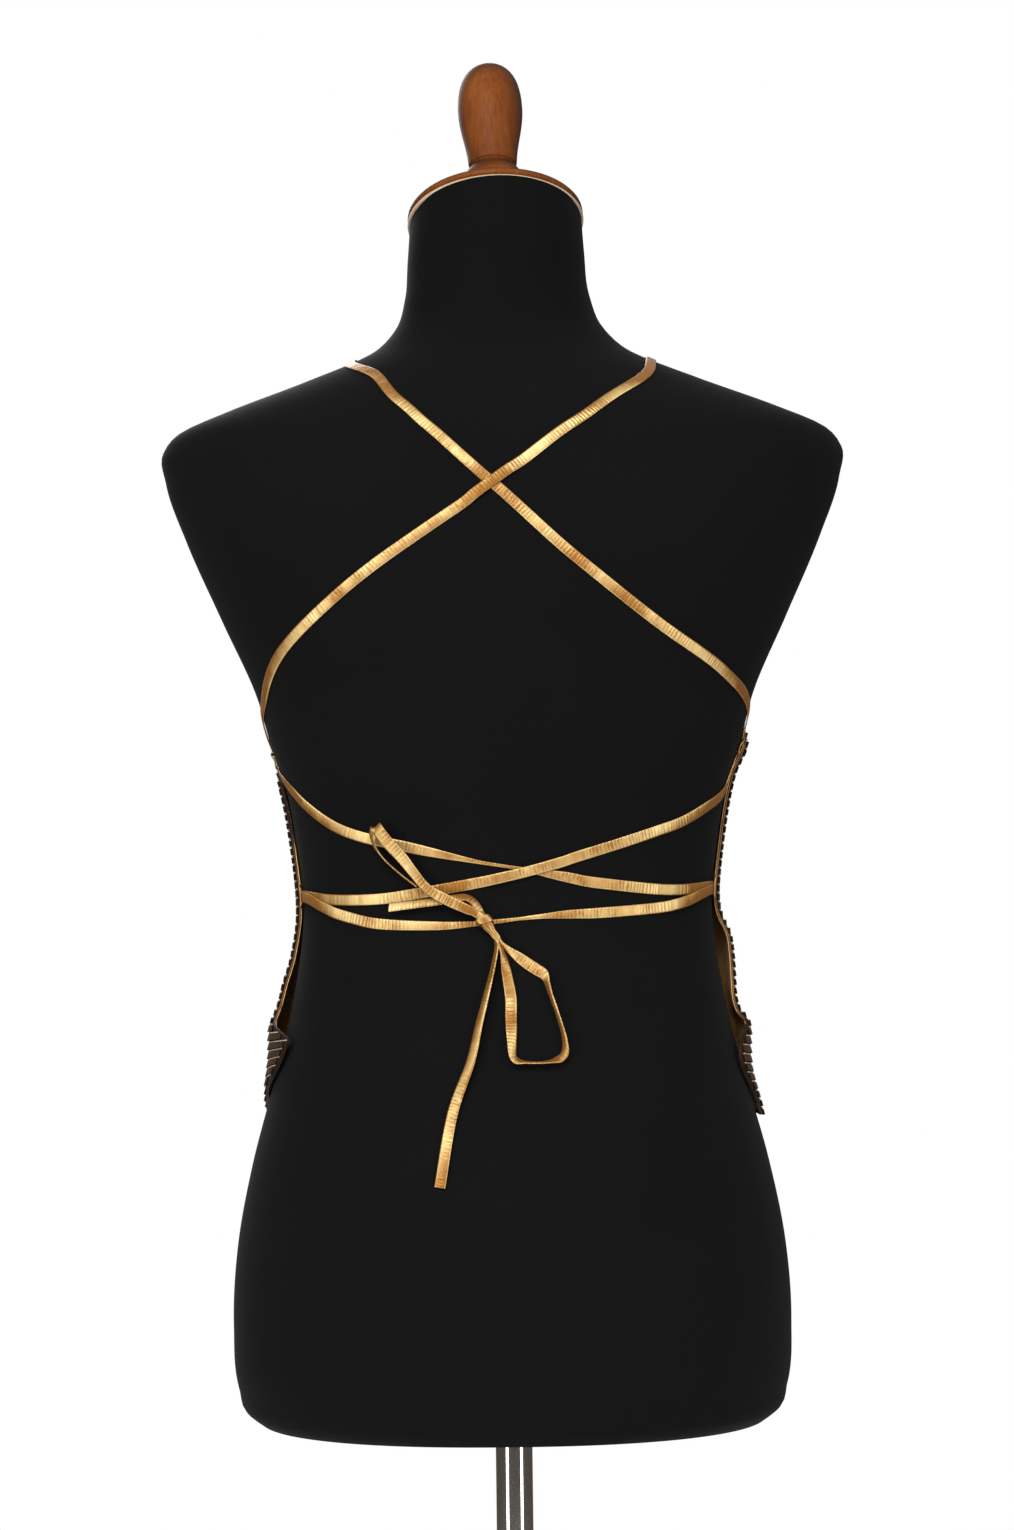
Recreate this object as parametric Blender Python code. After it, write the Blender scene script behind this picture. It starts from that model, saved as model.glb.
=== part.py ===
"""A beaded halter top with long satin ties, worn by a limbless form on a pole with a round foot.

Metres, +Z up. The origin is on the floor under the pole. The back of the garment, where the
ties cross and end in a bow, faces -Y. Heights on the form are measured from its flat underside.
"""

import math

import bpy
import numpy as np
from mathutils import Vector
from mathutils.bvhtree import BVHTree

MM = 0.001

# Stand
FORM_FOOT = 0.280
POLE_RADIUS = 0.011
BASE_RADIUS = 0.165
JOIN_GAP = 0.0003
NECK_TILT = math.radians(20)
NECK_LEAN = math.radians(2)
NECK_DRIFT = 0.0024
NECK_DEPTH = 0.060 / 0.052
NECK_TOP = 0.7173
NECK_BASE = 0.651

# Cloth
LINING_LIFT = 0.0011
LINING_WALL = 0.0010
PANEL_GAP = 0.0006
PANEL_WALL = 0.0020
LINING_PAST_EDGE = 0.0015
SCOOP_DEPTH = 0.027
SCOOP_START = 0.460
CORNER_START = 0.88

# Ties
TIE_WALL = 0.0010
TIE_LIFT = 0.0007
LAYER = TIE_WALL + 0.0004
TIE_STEP = 0.010
CURVE_PARTS = 24

# Sections of the form: height, half width, depth behind, depth in front, middle, squareness
FORM_SECTIONS = np.array([
    (0.0000, 0.1510, 0.1190, 0.1040, 0.000, 2.3),
    (0.0060, 0.1590, 0.1255, 0.1100, 0.000, 2.3),
    (0.0200, 0.1640, 0.1290, 0.1140, 0.000, 2.3),
    (0.0570, 0.1668, 0.1310, 0.1170, 0.000, 2.3),
    (0.1050, 0.1638, 0.1285, 0.1180, 0.000, 2.3),
    (0.1530, 0.1545, 0.1210, 0.1160, 0.000, 2.3),
    (0.2010, 0.1415, 0.1090, 0.1110, 0.000, 2.2),
    (0.2490, 0.1295, 0.0940, 0.1030, 0.000, 2.2),
    (0.3060, 0.1225, 0.0820, 0.0970, 0.000, 2.2),
    (0.3450, 0.1262, 0.0850, 0.1010, 0.000, 2.2),
    (0.3810, 0.1330, 0.0920, 0.1120, 0.000, 2.2),
    (0.4050, 0.1412, 0.0970, 0.1190, 0.000, 2.2),
    (0.4300, 0.1480, 0.1010, 0.1230, 0.000, 2.2),
    (0.4770, 0.1686, 0.1050, 0.1200, 0.000, 2.2),
    (0.5250, 0.1896, 0.1030, 0.1070, 0.000, 2.2),
    (0.5610, 0.2019, 0.0960, 0.0940, 0.000, 2.1),
    (0.5790, 0.2033, 0.0900, 0.0870, 0.000, 2.0),
    (0.5910, 0.1929, 0.0840, 0.0800, 0.000, 2.0),
    (0.6030, 0.1656, 0.0770, 0.0750, 0.001, 2.0),
    (0.6210, 0.1179, 0.0650, 0.0680, 0.004, 2.0),
    (0.6390, 0.0765, 0.0570, 0.0600, 0.010, 2.0),
    (0.6510, 0.0640, 0.0530, 0.0560, 0.013, 2.0),
    (0.6720, 0.0558, 0.0525, 0.0550, 0.018, 2.0),
    (0.6960, 0.0535, 0.0560, 0.0575, 0.022, 2.0),
    (NECK_TOP, 0.0520, 0.0600, 0.0600, 0.026, 2.0),
])
RING_STEP = 0.025
FINER_RINGS = ((0.249, 0.345, 0.0145), (0.591, 0.651, 0.0095))
BUST_HEIGHT = 0.428
BUST_ACROSS = 0.072
BUST_RISE = 0.017
BUST_SPREAD = 0.048
BUST_BRIDGE = 0.8

# Sections of the panel: height, left edge, right edge (degrees from the middle of the front),
# and how far the left and right edges stand off the form
PANEL_SECTIONS = np.array([
    (0.1775, 71, 89, 0.0000, 0.0008),
    (0.1850, 77.5, 94, 0.0000, 0.0010),
    (0.1910, 85, 98, 0.0000, 0.0010),
    (0.1970, 94, 101.5, 0.0006, 0.0010),
    (0.2050, 103, 105.5, 0.0014, 0.0012),
    (0.2150, 109, 107.5, 0.0030, 0.0032),
    (0.2235, 112, 104.5, 0.0050, 0.0056),
    (0.2290, 114, 99, 0.0064, 0.0072),
    (0.2330, 103, 93, 0.0069, 0.0072),
    (0.2390, 92, 92, 0.0060, 0.0042),
    (0.2480, 92, 92, 0.0046, 0.0032),
    (0.2580, 92, 92, 0.0040, 0.0045),
    (0.2720, 92, 92, 0.0020, 0.0062),
    (0.2860, 93, 92, 0.0008, 0.0062),
    (0.3000, 96, 95, 0.0000, 0.0015),
    (0.3150, 98, 98, 0.0000, 0.0000),
    (0.3300, 94, 94, 0.0000, 0.0000),
    (0.3480, 92, 92, 0.0000, 0.0000),
    (0.3690, 92, 92, 0.0000, 0.0000),
    (0.3795, 92, 92, 0.0000, 0.0000),
    (0.3865, 85.6, 92, 0.0000, 0.0000),
    (0.3930, 80, 92, 0.0000, 0.0008),
    (0.4000, 74.5, 92, 0.0000, 0.0014),
    (0.4050, 71.2, 89, 0.0000, 0.0008),
    (0.4110, 67.8, 81.5, 0.0000, 0.0000),
    (0.4200, 63.2, 71, 0.0000, 0.0000),
    (0.4310, 58, 60.5, 0.0000, 0.0000),
    (0.4400, 54, 54, 0.0000, 0.0000),
    (0.4520, 47, 47, 0.0000, 0.0000),
    (0.4670, 40, 40, 0.0000, 0.0000),
    (0.4860, 34, 34, 0.0000, 0.0000),
    (0.5080, 29, 29, 0.0000, 0.0000),
    (0.5340, 25, 25, 0.0000, 0.0000),
    (0.5620, 22, 22, 0.0000, 0.0000),
])
FLARE_START = 62
FIXED_COLUMNS = 8
EDGE_COLUMNS = 4
FIXED_TURN = 78

# Soft drag folds from the waist down: side, degrees from the front at the waist and at the hem,
# how far the fold stands out, how wide it is in degrees
HIP_FOLDS = (
    (-1, 84, 74, 0.0026, 5.0),
    (-1, 70, 55, 0.0022, 6.5),
    (-1, 52, 30, 0.0016, 8.0),
    (1, 82, 70, 0.0030, 5.5),
    (1, 66, 49, 0.0020, 6.0),
    (1, 47, 22, 0.0017, 8.5),
)
FOLD_TOP = 0.312
FOLD_FULL = 0.235

# Routes of the ties: degrees round from the middle of the back, height on the form, layers of tie
# beneath, width in millimetres. Tie A starts at the left front corner, tie B at the right one.
TIE_ROUTES = {
    "tie_a_shoulder": np.array([
        (-159.4, 0.5642, 0, 6.6),
        (-158.7, 0.5720, 0, 6.6),
        (-156.9, 0.5870, 0, 6.6),
        (-148.6, 0.6060, 0, 6.6),
        (-131.5, 0.6220, 0, 6.6),
        (-112.0, 0.6295, 0, 6.6),
        (-90.0, 0.6325, 0, 6.6),
        (-64.0, 0.6285, 0, 6.6),
        (-38.6, 0.6205, 0, 6.6),
        (-22.1, 0.6061, 0, 6.6),
        (-12.2, 0.5883, 0, 6.6),
        (-1.7, 0.5526, 0, 6.6),
        (12.9, 0.5069, 0, 6.6),
        (32.2, 0.4676, 0, 6.6),
        (53.8, 0.4429, 0, 6.6),
        (70.0, 0.4300, 0, 6.4),
        (80.5, 0.4215, 0, 5.6),
        (84.0, 0.4150, 0, 4.9),
        (85.2, 0.4090, 0, 4.5),
        (85.5, 0.4042, 0, 4.3),
    ]),
    "tie_a_back": np.array([
        (85.5, 0.4021, 0, 4.2),
        (85.4, 0.3950, 0, 4.5),
        (83.8, 0.3850, 0, 5.8),
        (78.5, 0.3738, 0, 6.6),
        (62.4, 0.3638, 0, 6.6),
        (50.5, 0.3554, 0, 6.6),
        (39.7, 0.3493, 0, 6.6),
        (20.0, 0.3372, 0, 6.6),
        (14.5, 0.3336, 1, 6.4),
        (5.6, 0.3284, 1, 6.2),
        (-3.0, 0.3242, 1, 6.4),
        (-9.0, 0.3215, 0, 6.6),
        (-23.7, 0.3162, 0, 6.6),
        (-36.1, 0.3127, 0, 6.6),
        (-52.5, 0.3119, 0, 6.6),
        (-70.0, 0.3134, 0, 6.4),
        (-79.5, 0.3138, 0, 6.0),
    ]),
    "tie_a_waist": np.array([
        (-79.5, 0.3128, 1, 6.0),
        (-69.2, 0.3122, 1, 6.4),
        (-58.4, 0.3075, 1, 6.6),
        (-53.0, 0.3044, 1, 6.6),
        (-46.5, 0.3015, 0, 6.6),
        (-36.2, 0.2981, 0, 6.6),
        (-19.3, 0.2970, 0, 6.2),
        (-9.6, 0.2979, 0, 5.0),
    ]),
    "tie_b_shoulder": np.array([
        (159.4, 0.5642, 0, 6.6),
        (158.7, 0.5720, 0, 6.6),
        (156.9, 0.5870, 0, 6.6),
        (148.6, 0.6060, 0, 6.6),
        (131.5, 0.6220, 0, 6.6),
        (112.0, 0.6295, 0, 6.6),
        (90.0, 0.6325, 0, 6.6),
        (64.0, 0.6285, 0, 6.6),
        (42.0, 0.6194, 0, 6.6),
        (24.1, 0.6071, 0, 6.6),
        (11.7, 0.5891, 0, 6.6),
        (3.4, 0.5660, 0, 6.6),
        (1.0, 0.5610, 1, 6.6),
        (-1.7, 0.5526, 1, 6.6),
        (-4.6, 0.5460, 1, 6.6),
        (-8.0, 0.5410, 0, 6.6),
        (-20.2, 0.5158, 0, 6.6),
        (-38.8, 0.4800, 0, 6.6),
        (-56.5, 0.4520, 0, 6.6),
        (-71.3, 0.4302, 0, 6.4),
        (-80.5, 0.4210, 0, 5.6),
        (-87.0, 0.4125, 0, 4.9),
        (-91.4, 0.4052, 0, 4.5),
        (-92.3, 0.3999, 0, 4.3),
    ]),
    "tie_b_back": np.array([
        (-92.2, 0.3971, 0, 4.2),
        (-92.1, 0.3902, 0, 4.4),
        (-88.2, 0.3868, 0, 5.2),
        (-80.5, 0.3834, 0, 6.0),
        (-71.5, 0.3770, 0, 6.6),
        (-62.8, 0.3680, 0, 6.6),
        (-46.1, 0.3525, 0, 6.6),
        (-26.0, 0.3427, 0, 6.6),
        (-18.5, 0.3391, 0, 5.2),
        (-12.0, 0.3360, 0, 3.4),
        (-6.7, 0.3336, 0, 2.1),
        (0.0, 0.3312, 0, 1.9),
        (5.6, 0.3290, 0, 2.6),
        (10.5, 0.3269, 0, 4.6),
        (16.0, 0.3245, 0, 6.2),
        (25.1, 0.3207, 0, 6.6),
        (47.6, 0.3158, 0, 6.6),
        (70.0, 0.3165, 0, 6.4),
        (79.5, 0.3167, 0, 6.0),
    ]),
    "tie_b_waist": np.array([
        (79.5, 0.3157, 1, 6.0),
        (67.1, 0.3134, 1, 6.4),
        (56.0, 0.3090, 1, 6.6),
        (51.0, 0.3072, 1, 6.6),
        (44.5, 0.3055, 0, 6.6),
        (25.1, 0.3033, 0, 6.4),
        (9.8, 0.3021, 0, 5.0),
        (1.4, 0.3004, 0, 4.0),
        (-2.2, 0.2994, 0, 4.4),
    ]),
}

# The sewn loops, on the right of the form: degrees round, height, lift in layers of tie
LOOP_WIDTH = 0.0024
LOOP_STEP = 0.0018
WAIST_LOOP = np.array([
    (81.2, 0.3220, 0.0),
    (78.6, 0.3222, 1.6),
    (76.6, 0.3212, 2.1),
    (75.9, 0.3162, 2.2),
    (76.6, 0.3112, 2.1),
    (78.6, 0.3102, 1.6),
    (81.2, 0.3104, 0.0),
])
UPPER_LOOP = np.array([
    (88.3, 0.4112, 0.2),
    (87.6, 0.4114, 1.0),
    (85.4, 0.4112, 1.2),
    (83.2, 0.4106, 1.0),
    (82.2, 0.4074, 0.4),
    (83.2, 0.4042, 1.0),
    (85.2, 0.4034, 1.2),
    (86.9, 0.4032, 1.0),
    (87.6, 0.4032, 0.2),
])

# Each loop: its table, side, degrees further round, millimetres higher
LOOPS = {
    "waist_loop_left": (WAIST_LOOP, -1, 0.0, -2.9),
    "waist_loop_right": (WAIST_LOOP, 1, 0.0, 0.0),
    "upper_loop_left": (UPPER_LOOP, -1, 7.0, -12.8),
    "upper_loop_right": (UPPER_LOOP, 1, 0.0, -8.0),
}

# The bow, in millimetres across and up from the middle of its knot: lift off the form, width of
# the band there, and its twist out of lying flat, in degrees
KNOT_TURN = -5.9
KNOT_HEIGHT = 0.2985
BOW_STEP = 0.005
EAR_STEP = 0.0045
BOW_BANDS = {
    "bow_ear_lower": np.array([
        (10.6, -12.6, 0.8, 4.6, 60),
        (15.5, -15.0, 0.8, 5.6, 46),
        (20.0, -17.6, 0.8, 6.6, 16),
        (24.7, -20.4, 0.8, 7.0, 0),
        (31.0, -24.9, 0.8, 7.0, 0),
        (34.5, -28.2, 0.8, 6.6, 20),
        (35.8, -32.6, 0.8, 5.8, 62),
        (38.2, -41.0, 0.8, 5.8, 70),
        (41.6, -50.9, 0.8, 5.8, 70),
        (45.2, -63.0, 0.8, 5.8, 68),
        (46.0, -70.0, 0.8, 6.0, 58),
        (45.4, -74.2, 0.8, 6.2, 40),
        (42.4, -76.8, 0.8, 6.2, 40),
        (37.0, -77.9, 0.8, 6.0, 62),
        (30.0, -78.4, 0.8, 6.0, 68),
        (22.5, -78.0, 0.8, 6.0, 62),
        (18.0, -77.6, 0.8, 6.0, 44),
        (15.8, -75.0, 0.8, 5.6, 44),
        (15.4, -69.5, 0.8, 6.2, 34),
        (14.4, -62.0, 0.8, 6.6, 10),
        (13.8, -54.0, 0.8, 6.8, 0),
        (13.8, -43.1, 0.8, 6.8, 0),
        (11.6, -28.8, 0.8, 6.2, 16),
        (9.4, -17.4, 0.8, 4.8, 56),
    ]),
    "bow_tail_long": np.array([
        (5.9, -14.8, 0.8, 4.6, 64),
        (3.2, -28.8, 0.8, 5.8, 60),
        (-4.1, -57.2, 0.8, 6.6, 48),
        (-9.5, -79.7, 0.8, 6.6, 34),
        (-20.1, -108.3, 0.8, 6.6, 10),
        (-27.9, -149.7, 0.8, 6.6, 0),
    ]),
    "bow_tail_short": np.array([
        (-4.9, 9.6, 2.4, 4.2, 0),
        (-7.6, 13.2, 2.4, 4.2, 0),
        (-12.5, 15.2, 2.4, 4.4, 0),
        (-18.0, 14.7, 2.4, 4.6, 0),
        (-28.6, 13.0, 2.2, 4.8, 0),
        (-42.0, 11.3, 2.2, 5.2, 0),
        (-55.1, 9.6, 2.2, 5.4, 0),
    ]),
}

# The upper ear stands off the form and turns over at its top: millimetres across and up from the
# knot, height of the band's middle off the form, width, and the direction of that width (across,
# up, outwards)
UPPER_EAR = np.array([
    (-6.3, 6.4, 5.4, 5.6, 0.60, 0.80, 0.0),
    (-11.0, 8.4, 6.0, 6.4, 0.50, 0.87, 0.0),
    (-23.1, 14.6, 6.4, 6.4, 0.52, 0.85, 0.0),
    (-32.9, 21.2, 6.6, 5.6, 0.66, 0.75, 0.0),
    (-39.8, 30.2, 7.2, 6.0, 0.80, 0.60, 0.0),
    (-46.1, 39.4, 8.0, 7.0, 0.80, 0.60, 0.0),
    (-53.0, 47.8, 8.8, 7.6, 0.74, 0.67, 0.0),
    (-57.8, 54.4, 8.8, 7.8, 0.74, 0.67, 0.0),
    (-60.2, 57.0, 7.0, 7.6, 0.76, 0.64, 0.0),
    (-61.8, 56.4, 5.4, 6.6, 0.80, 0.55, 0.1),
    (-63.4, 51.6, 5.0, 5.6, 0.88, 0.20, 0.4),
    (-62.0, 45.0, 5.0, 4.8, 0.50, 0.35, 0.8),
    (-56.6, 37.6, 4.8, 4.6, 0.24, 0.24, 0.94),
    (-50.4, 31.4, 4.6, 4.4, 0.20, 0.20, 0.96),
    (-44.4, 26.2, 4.5, 4.2, 0.20, 0.20, 0.96),
    (-38.8, 21.6, 4.5, 4.0, 0.20, 0.20, 0.96),
])

# The knot: millimetres across and up from its middle, height of its axis, half width, half height
KNOT_SECTIONS = np.array([
    (-5.0, 6.2, 4.0, 1.6, 1.2),
    (-3.6, 4.6, 4.0, 3.0, 2.2),
    (-0.8, 1.2, 4.2, 4.0, 3.2),
    (1.6, -2.2, 4.0, 3.8, 3.0),
    (3.8, -5.4, 3.4, 2.8, 2.2),
    (6.0, -8.6, 3.0, 2.9, 2.0),
    (7.6, -11.0, 2.8, 2.2, 1.6),
])


def clear_scene():
    for thing in list(bpy.data.objects):
        bpy.data.objects.remove(thing, do_unlink=True)


def finish(name, color, roughness, metallic=0.0):
    """A plain material for one piece."""
    material = bpy.data.materials.new(name)
    material.use_nodes = True
    shader = material.node_tree.nodes["Principled BSDF"]
    shader.inputs["Base Color"].default_value = (*color, 1.0)
    shader.inputs["Roughness"].default_value = roughness
    shader.inputs["Metallic"].default_value = metallic
    material.diffuse_color = (*color, 1.0)
    return material


def add_object(name, points, faces, material, smooth=True):
    mesh = bpy.data.meshes.new(name)
    mesh.from_pydata([tuple(point) for point in np.asarray(points, float)], [], faces)
    mesh.materials.append(material)
    if smooth:
        mesh.shade_smooth()
        mesh.set_sharp_from_angle(angle=math.radians(40))
    piece = bpy.data.objects.new(name, mesh)
    bpy.context.scene.collection.objects.link(piece)
    return piece


def unit(vectors):
    return vectors / np.linalg.norm(vectors, axis=-1, keepdims=True)


def smoothstep(value, low, high):
    part = np.clip((np.asarray(value, float) - low) / (high - low), 0.0, 1.0)
    return part * part * (3.0 - 2.0 * part)


def table_column(table, index, height):
    """A column of a table read at any height, on a cubic through its rows."""
    rows = table[:, 0]
    values = table[:, index]
    slopes = np.gradient(values, rows)
    height = np.clip(np.asarray(height, float), rows[0], rows[-1])
    low = np.clip(np.searchsorted(rows, height, side="right") - 1, 0, len(rows) - 2)
    span = rows[low + 1] - rows[low]
    part = (height - rows[low]) / span
    start = values[low] * (1 + 2 * part) + slopes[low] * span * part
    end = values[low + 1] * (3 - 2 * part) - slopes[low + 1] * span * (1 - part)
    return start * (1 - part) ** 2 + end * part**2


def form_point(turn, height, bridge=0.0):
    """Points of the form, turn degrees round from the middle of the back, height above its foot.

    Each section is a superellipse, deeper behind or in front, with two low rises for the bust.
    bridge is how much of the valley between them a cloth laid over it fills.
    """
    turn, height = np.broadcast_arrays(np.radians(np.asarray(turn, float)), height)
    half_width, behind, in_front, middle, power = (
        table_column(FORM_SECTIONS, index, height) for index in range(1, 6)
    )
    sine = np.sin(turn)
    cosine = np.cos(turn)
    reach = (np.abs(sine) ** power + np.abs(cosine) ** power) ** (-1.0 / power)
    depth = np.where(cosine > 0, behind, in_front)
    across = half_width * reach * sine
    along = middle - depth * reach * cosine
    from_middle = np.abs(across)
    from_middle = from_middle + bridge * np.maximum(BUST_ACROSS - from_middle, 0.0)
    rise = np.exp(-(((from_middle - BUST_ACROSS) / BUST_SPREAD) ** 2))
    rise = rise * np.exp(-(((height - BUST_HEIGHT) / BUST_SPREAD) ** 2))
    along = along + BUST_RISE * rise * smoothstep(-cosine, 0.0, 0.5)
    tilt = math.tan(NECK_TILT) * smoothstep(height, NECK_BASE, NECK_TOP)
    lean = math.tan(NECK_LEAN) * smoothstep(height, NECK_BASE, NECK_TOP)
    up = FORM_FOOT + height - tilt * (along - middle) + lean * across
    across = across - NECK_DRIFT * smoothstep(height, 0.625, 0.690)
    return np.stack([across, along, up], axis=-1)


def form_normal(turn, height, bridge=0.0):
    """Outward directions of the form at those points."""
    step_turn = 0.5
    step_height = 1.0 * MM
    onward = form_point(turn + step_turn, height, bridge)
    backward = form_point(turn - step_turn, height, bridge)
    higher = form_point(turn, height + step_height, bridge)
    lower = form_point(turn, height - step_height, bridge)
    return unit(np.cross(onward - backward, higher - lower))


def ring_faces(rings, around):
    """Quads between closed rings, facing out where the rings run anticlockwise from above."""
    faces = []
    for ring in range(rings - 1):
        for step in range(around):
            following = (step + 1) % around
            low = ring * around
            high = low + around
            faces.append((low + step, low + following, high + following, high + step))
    return faces


def form_heights():
    """The table's heights, with more between them, closest at the hollows of waist and collar."""
    heights = [FORM_SECTIONS[0, 0]]
    for low, high in zip(FORM_SECTIONS[:-1, 0], FORM_SECTIONS[1:, 0]):
        step = RING_STEP
        for start, end, finer in FINER_RINGS:
            if start <= low and high <= end:
                step = finer
        parts = math.ceil(round((high - low) / step, 3))
        heights.extend(low + (high - low) * (part + 1) / parts for part in range(parts))
    return np.array(heights)


def build_torso(around=36):
    heights = form_heights()
    turns = np.arange(around) * 360.0 / around
    points = form_point(turns[None, :], heights[:, None]).reshape(-1, 3)
    rings = len(heights)
    faces = ring_faces(rings, around)
    faces.append(tuple(reversed(range(around))))
    faces.append(tuple(range((rings - 1) * around, rings * around)))
    cloth = finish("black jersey", (0.010, 0.010, 0.011), 0.85)
    return add_object("torso", points, faces, cloth)


def form_guide():
    """A fine copy of the form's surface, which ties are laid on."""
    turns = np.arange(0.0, 360.0, 1.5)
    heights = np.arange(0.0, NECK_TOP, 0.004)
    points = form_point(turns[None, :], heights[:, None]).reshape(-1, 3)
    return BVHTree.FromPolygons([Vector(point) for point in points], ring_faces(len(heights), len(turns)))


def turned(name, profile, material, around, place=(0.0, 0.0, 0.0), tilt=0.0, lean=0.0, depth=1.0):
    """A solid turned about an axis that leans forward by tilt and to the left by lean.

    profile holds radius, height; depth stretches the round to an oval, front to back.
    """
    angles = np.arange(around) * 2 * math.pi / around
    radius = np.array([row[0] for row in profile])[:, None]
    height = np.array([row[1] for row in profile])[:, None]
    points = np.stack(
        [radius * np.cos(angles), depth * radius * np.sin(angles), height + 0 * angles], axis=-1
    ).reshape(-1, 3)
    points = points @ neck_turn(tilt, lean).T + np.array(place)
    faces = ring_faces(len(profile), around)
    faces.append(tuple(reversed(range(around))))
    faces.append(tuple(range((len(profile) - 1) * around, len(profile) * around)))
    return add_object(name, points, faces, material)


def build_stand():
    chrome = finish("chromed steel", (0.72, 0.72, 0.74), 0.12, 1.0)
    foot = finish("chromed foot", (0.70, 0.70, 0.72), 0.16, 1.0)
    base_top = 0.034
    turned("base", [
        (BASE_RADIUS - 0.001, 0.0),
        (BASE_RADIUS, 0.001),
        (BASE_RADIUS, 0.007),
        (BASE_RADIUS - 0.003, 0.010),
        (0.110, 0.0135),
        (0.050, 0.0165),
        (0.026, 0.0185),
        (0.0195, 0.022),
        (0.0185, base_top - 0.002),
        (0.0165, base_top),
    ], foot, 48)
    turned("pole", [
        (POLE_RADIUS, base_top + JOIN_GAP),
        (POLE_RADIUS, FORM_FOOT - JOIN_GAP),
    ], chrome, 24)


def neck_turn(tilt, lean):
    """The turn that leans an upright axis forward by tilt, then to the left by lean."""
    forward = np.array([
        (1, 0, 0),
        (0, math.cos(tilt), math.sin(tilt)),
        (0, -math.sin(tilt), math.cos(tilt)),
    ])
    sideways = np.array([
        (math.cos(lean), 0, -math.sin(lean)),
        (0, 1, 0),
        (math.sin(lean), 0, math.cos(lean)),
    ])
    return sideways @ forward


def neck_place(above):
    """A point above the middle of the neck's sloping top, measured square to it."""
    middle = np.array([-NECK_DRIFT, FORM_SECTIONS[-1, 4], FORM_FOOT + NECK_TOP])
    return middle + neck_turn(NECK_TILT, NECK_LEAN) @ np.array([0.0, 0.0, above])


def build_neck():
    cream = finish("cream edge", (0.72, 0.55, 0.36), 0.5)
    wood = finish("stained beech", (0.30, 0.105, 0.030), 0.30)
    knob = finish("turned beech", (0.31, 0.110, 0.032), 0.28)
    across = FORM_SECTIONS[-1, 1]
    trim_height = 0.0018
    cap_height = 0.0198
    lean = {"tilt": NECK_TILT, "lean": NECK_LEAN}
    turned("neck_trim", [
        (across - 0.0006, 0.0),
        (across + 0.0004, 0.0004),
        (across + 0.0004, trim_height - 0.0004),
        (across - 0.0006, trim_height),
    ], cream, 40, neck_place(2 * JOIN_GAP), depth=NECK_DEPTH, **lean)
    cap_foot = 2 * JOIN_GAP + trim_height + JOIN_GAP
    turned("neck_cap", [
        (across - 0.0006, 0.0),
        (across + 0.0008, 0.0008),
        (across + 0.0010, 0.0020),
        (across, 0.0040),
        (across - 0.006, 0.0062),
        (0.034, 0.0112),
        (0.022, cap_height - 0.001),
        (0.0205, cap_height),
    ], wood, 40, neck_place(cap_foot), depth=NECK_DEPTH, **lean)
    turned("finial", [
        (0.0200, 0.0),
        (0.0197, 0.0040),
        (0.0188, 0.0085),
        (0.0168, 0.0125),
        (0.0138, 0.0168),
        (0.0142, 0.0200),
        (0.0148, 0.0260),
        (0.0161, 0.0335),
        (0.0175, 0.0405),
        (0.0187, 0.0485),
        (0.0191, 0.0560),
        (0.0185, 0.0650),
        (0.0165, 0.0735),
        (0.0125, 0.0805),
        (0.0065, 0.0850),
        (0.0015, 0.0863),
    ], knob, 24, neck_place(cap_foot + cap_height + JOIN_GAP), **lean)


def cloth_lift(side, turn, height):
    """How far the cloth stands off the form: the flare of its edges and its drag folds.

    side is -1 on the left and 1 on the right, turn is degrees from the middle of the front.
    """
    flare = np.where(
        side < 0, table_column(PANEL_SECTIONS, 3, height), table_column(PANEL_SECTIONS, 4, height)
    )
    lift = np.maximum(flare, 0.0) * smoothstep(turn, FLARE_START, 90)
    lift = lift * (1.0 - 0.45 * smoothstep(turn, 92, 112))
    ramp = smoothstep(FOLD_TOP - height, 0.0, FOLD_TOP - FOLD_FULL)
    down = np.clip((FOLD_TOP - height) / (FOLD_TOP - PANEL_SECTIONS[0, 0]), 0.0, 1.0)
    for fold_side, at_waist, at_hem, rise, width in HIP_FOLDS:
        middle = at_waist + (at_hem - at_waist) * down
        fold = rise * ramp * np.exp(-(((turn - middle) / width) ** 2))
        lift = lift + np.where(side == fold_side, fold, 0.0)
    return lift


def cloth_grid():
    """Side, turn from the front and height of the cloth's grid, a row for each section."""
    heights = PANEL_SECTIONS[:, 0]
    inner = np.linspace(0.0, 1.0, FIXED_COLUMNS + 1)
    outer = np.linspace(0.0, 1.0, EDGE_COLUMNS + 1)[1:]
    turns = []
    for edge in (PANEL_SECTIONS[:, 1], PANEL_SECTIONS[:, 2]):
        fixed = np.minimum(FIXED_TURN, 0.78 * edge)
        turns.append(np.concatenate(
            [fixed[:, None] * inner, fixed[:, None] + (edge - fixed)[:, None] * outer], axis=1
        ))
    left, right = turns
    turn = np.concatenate([left[:, :0:-1], right], axis=1)
    columns = FIXED_COLUMNS + EDGE_COLUMNS
    steps = np.arange(-columns, columns + 1)
    side = np.broadcast_to(np.where(steps < 0, -1, 1), turn.shape)
    across = np.minimum(np.abs(steps / columns) / CORNER_START, 1.0)
    scoop = SCOOP_DEPTH * (1.0 - across**2.4)
    height = heights[:, None] - scoop * smoothstep(heights, SCOOP_START, heights[-1])[:, None]
    return side, turn, height


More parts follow.
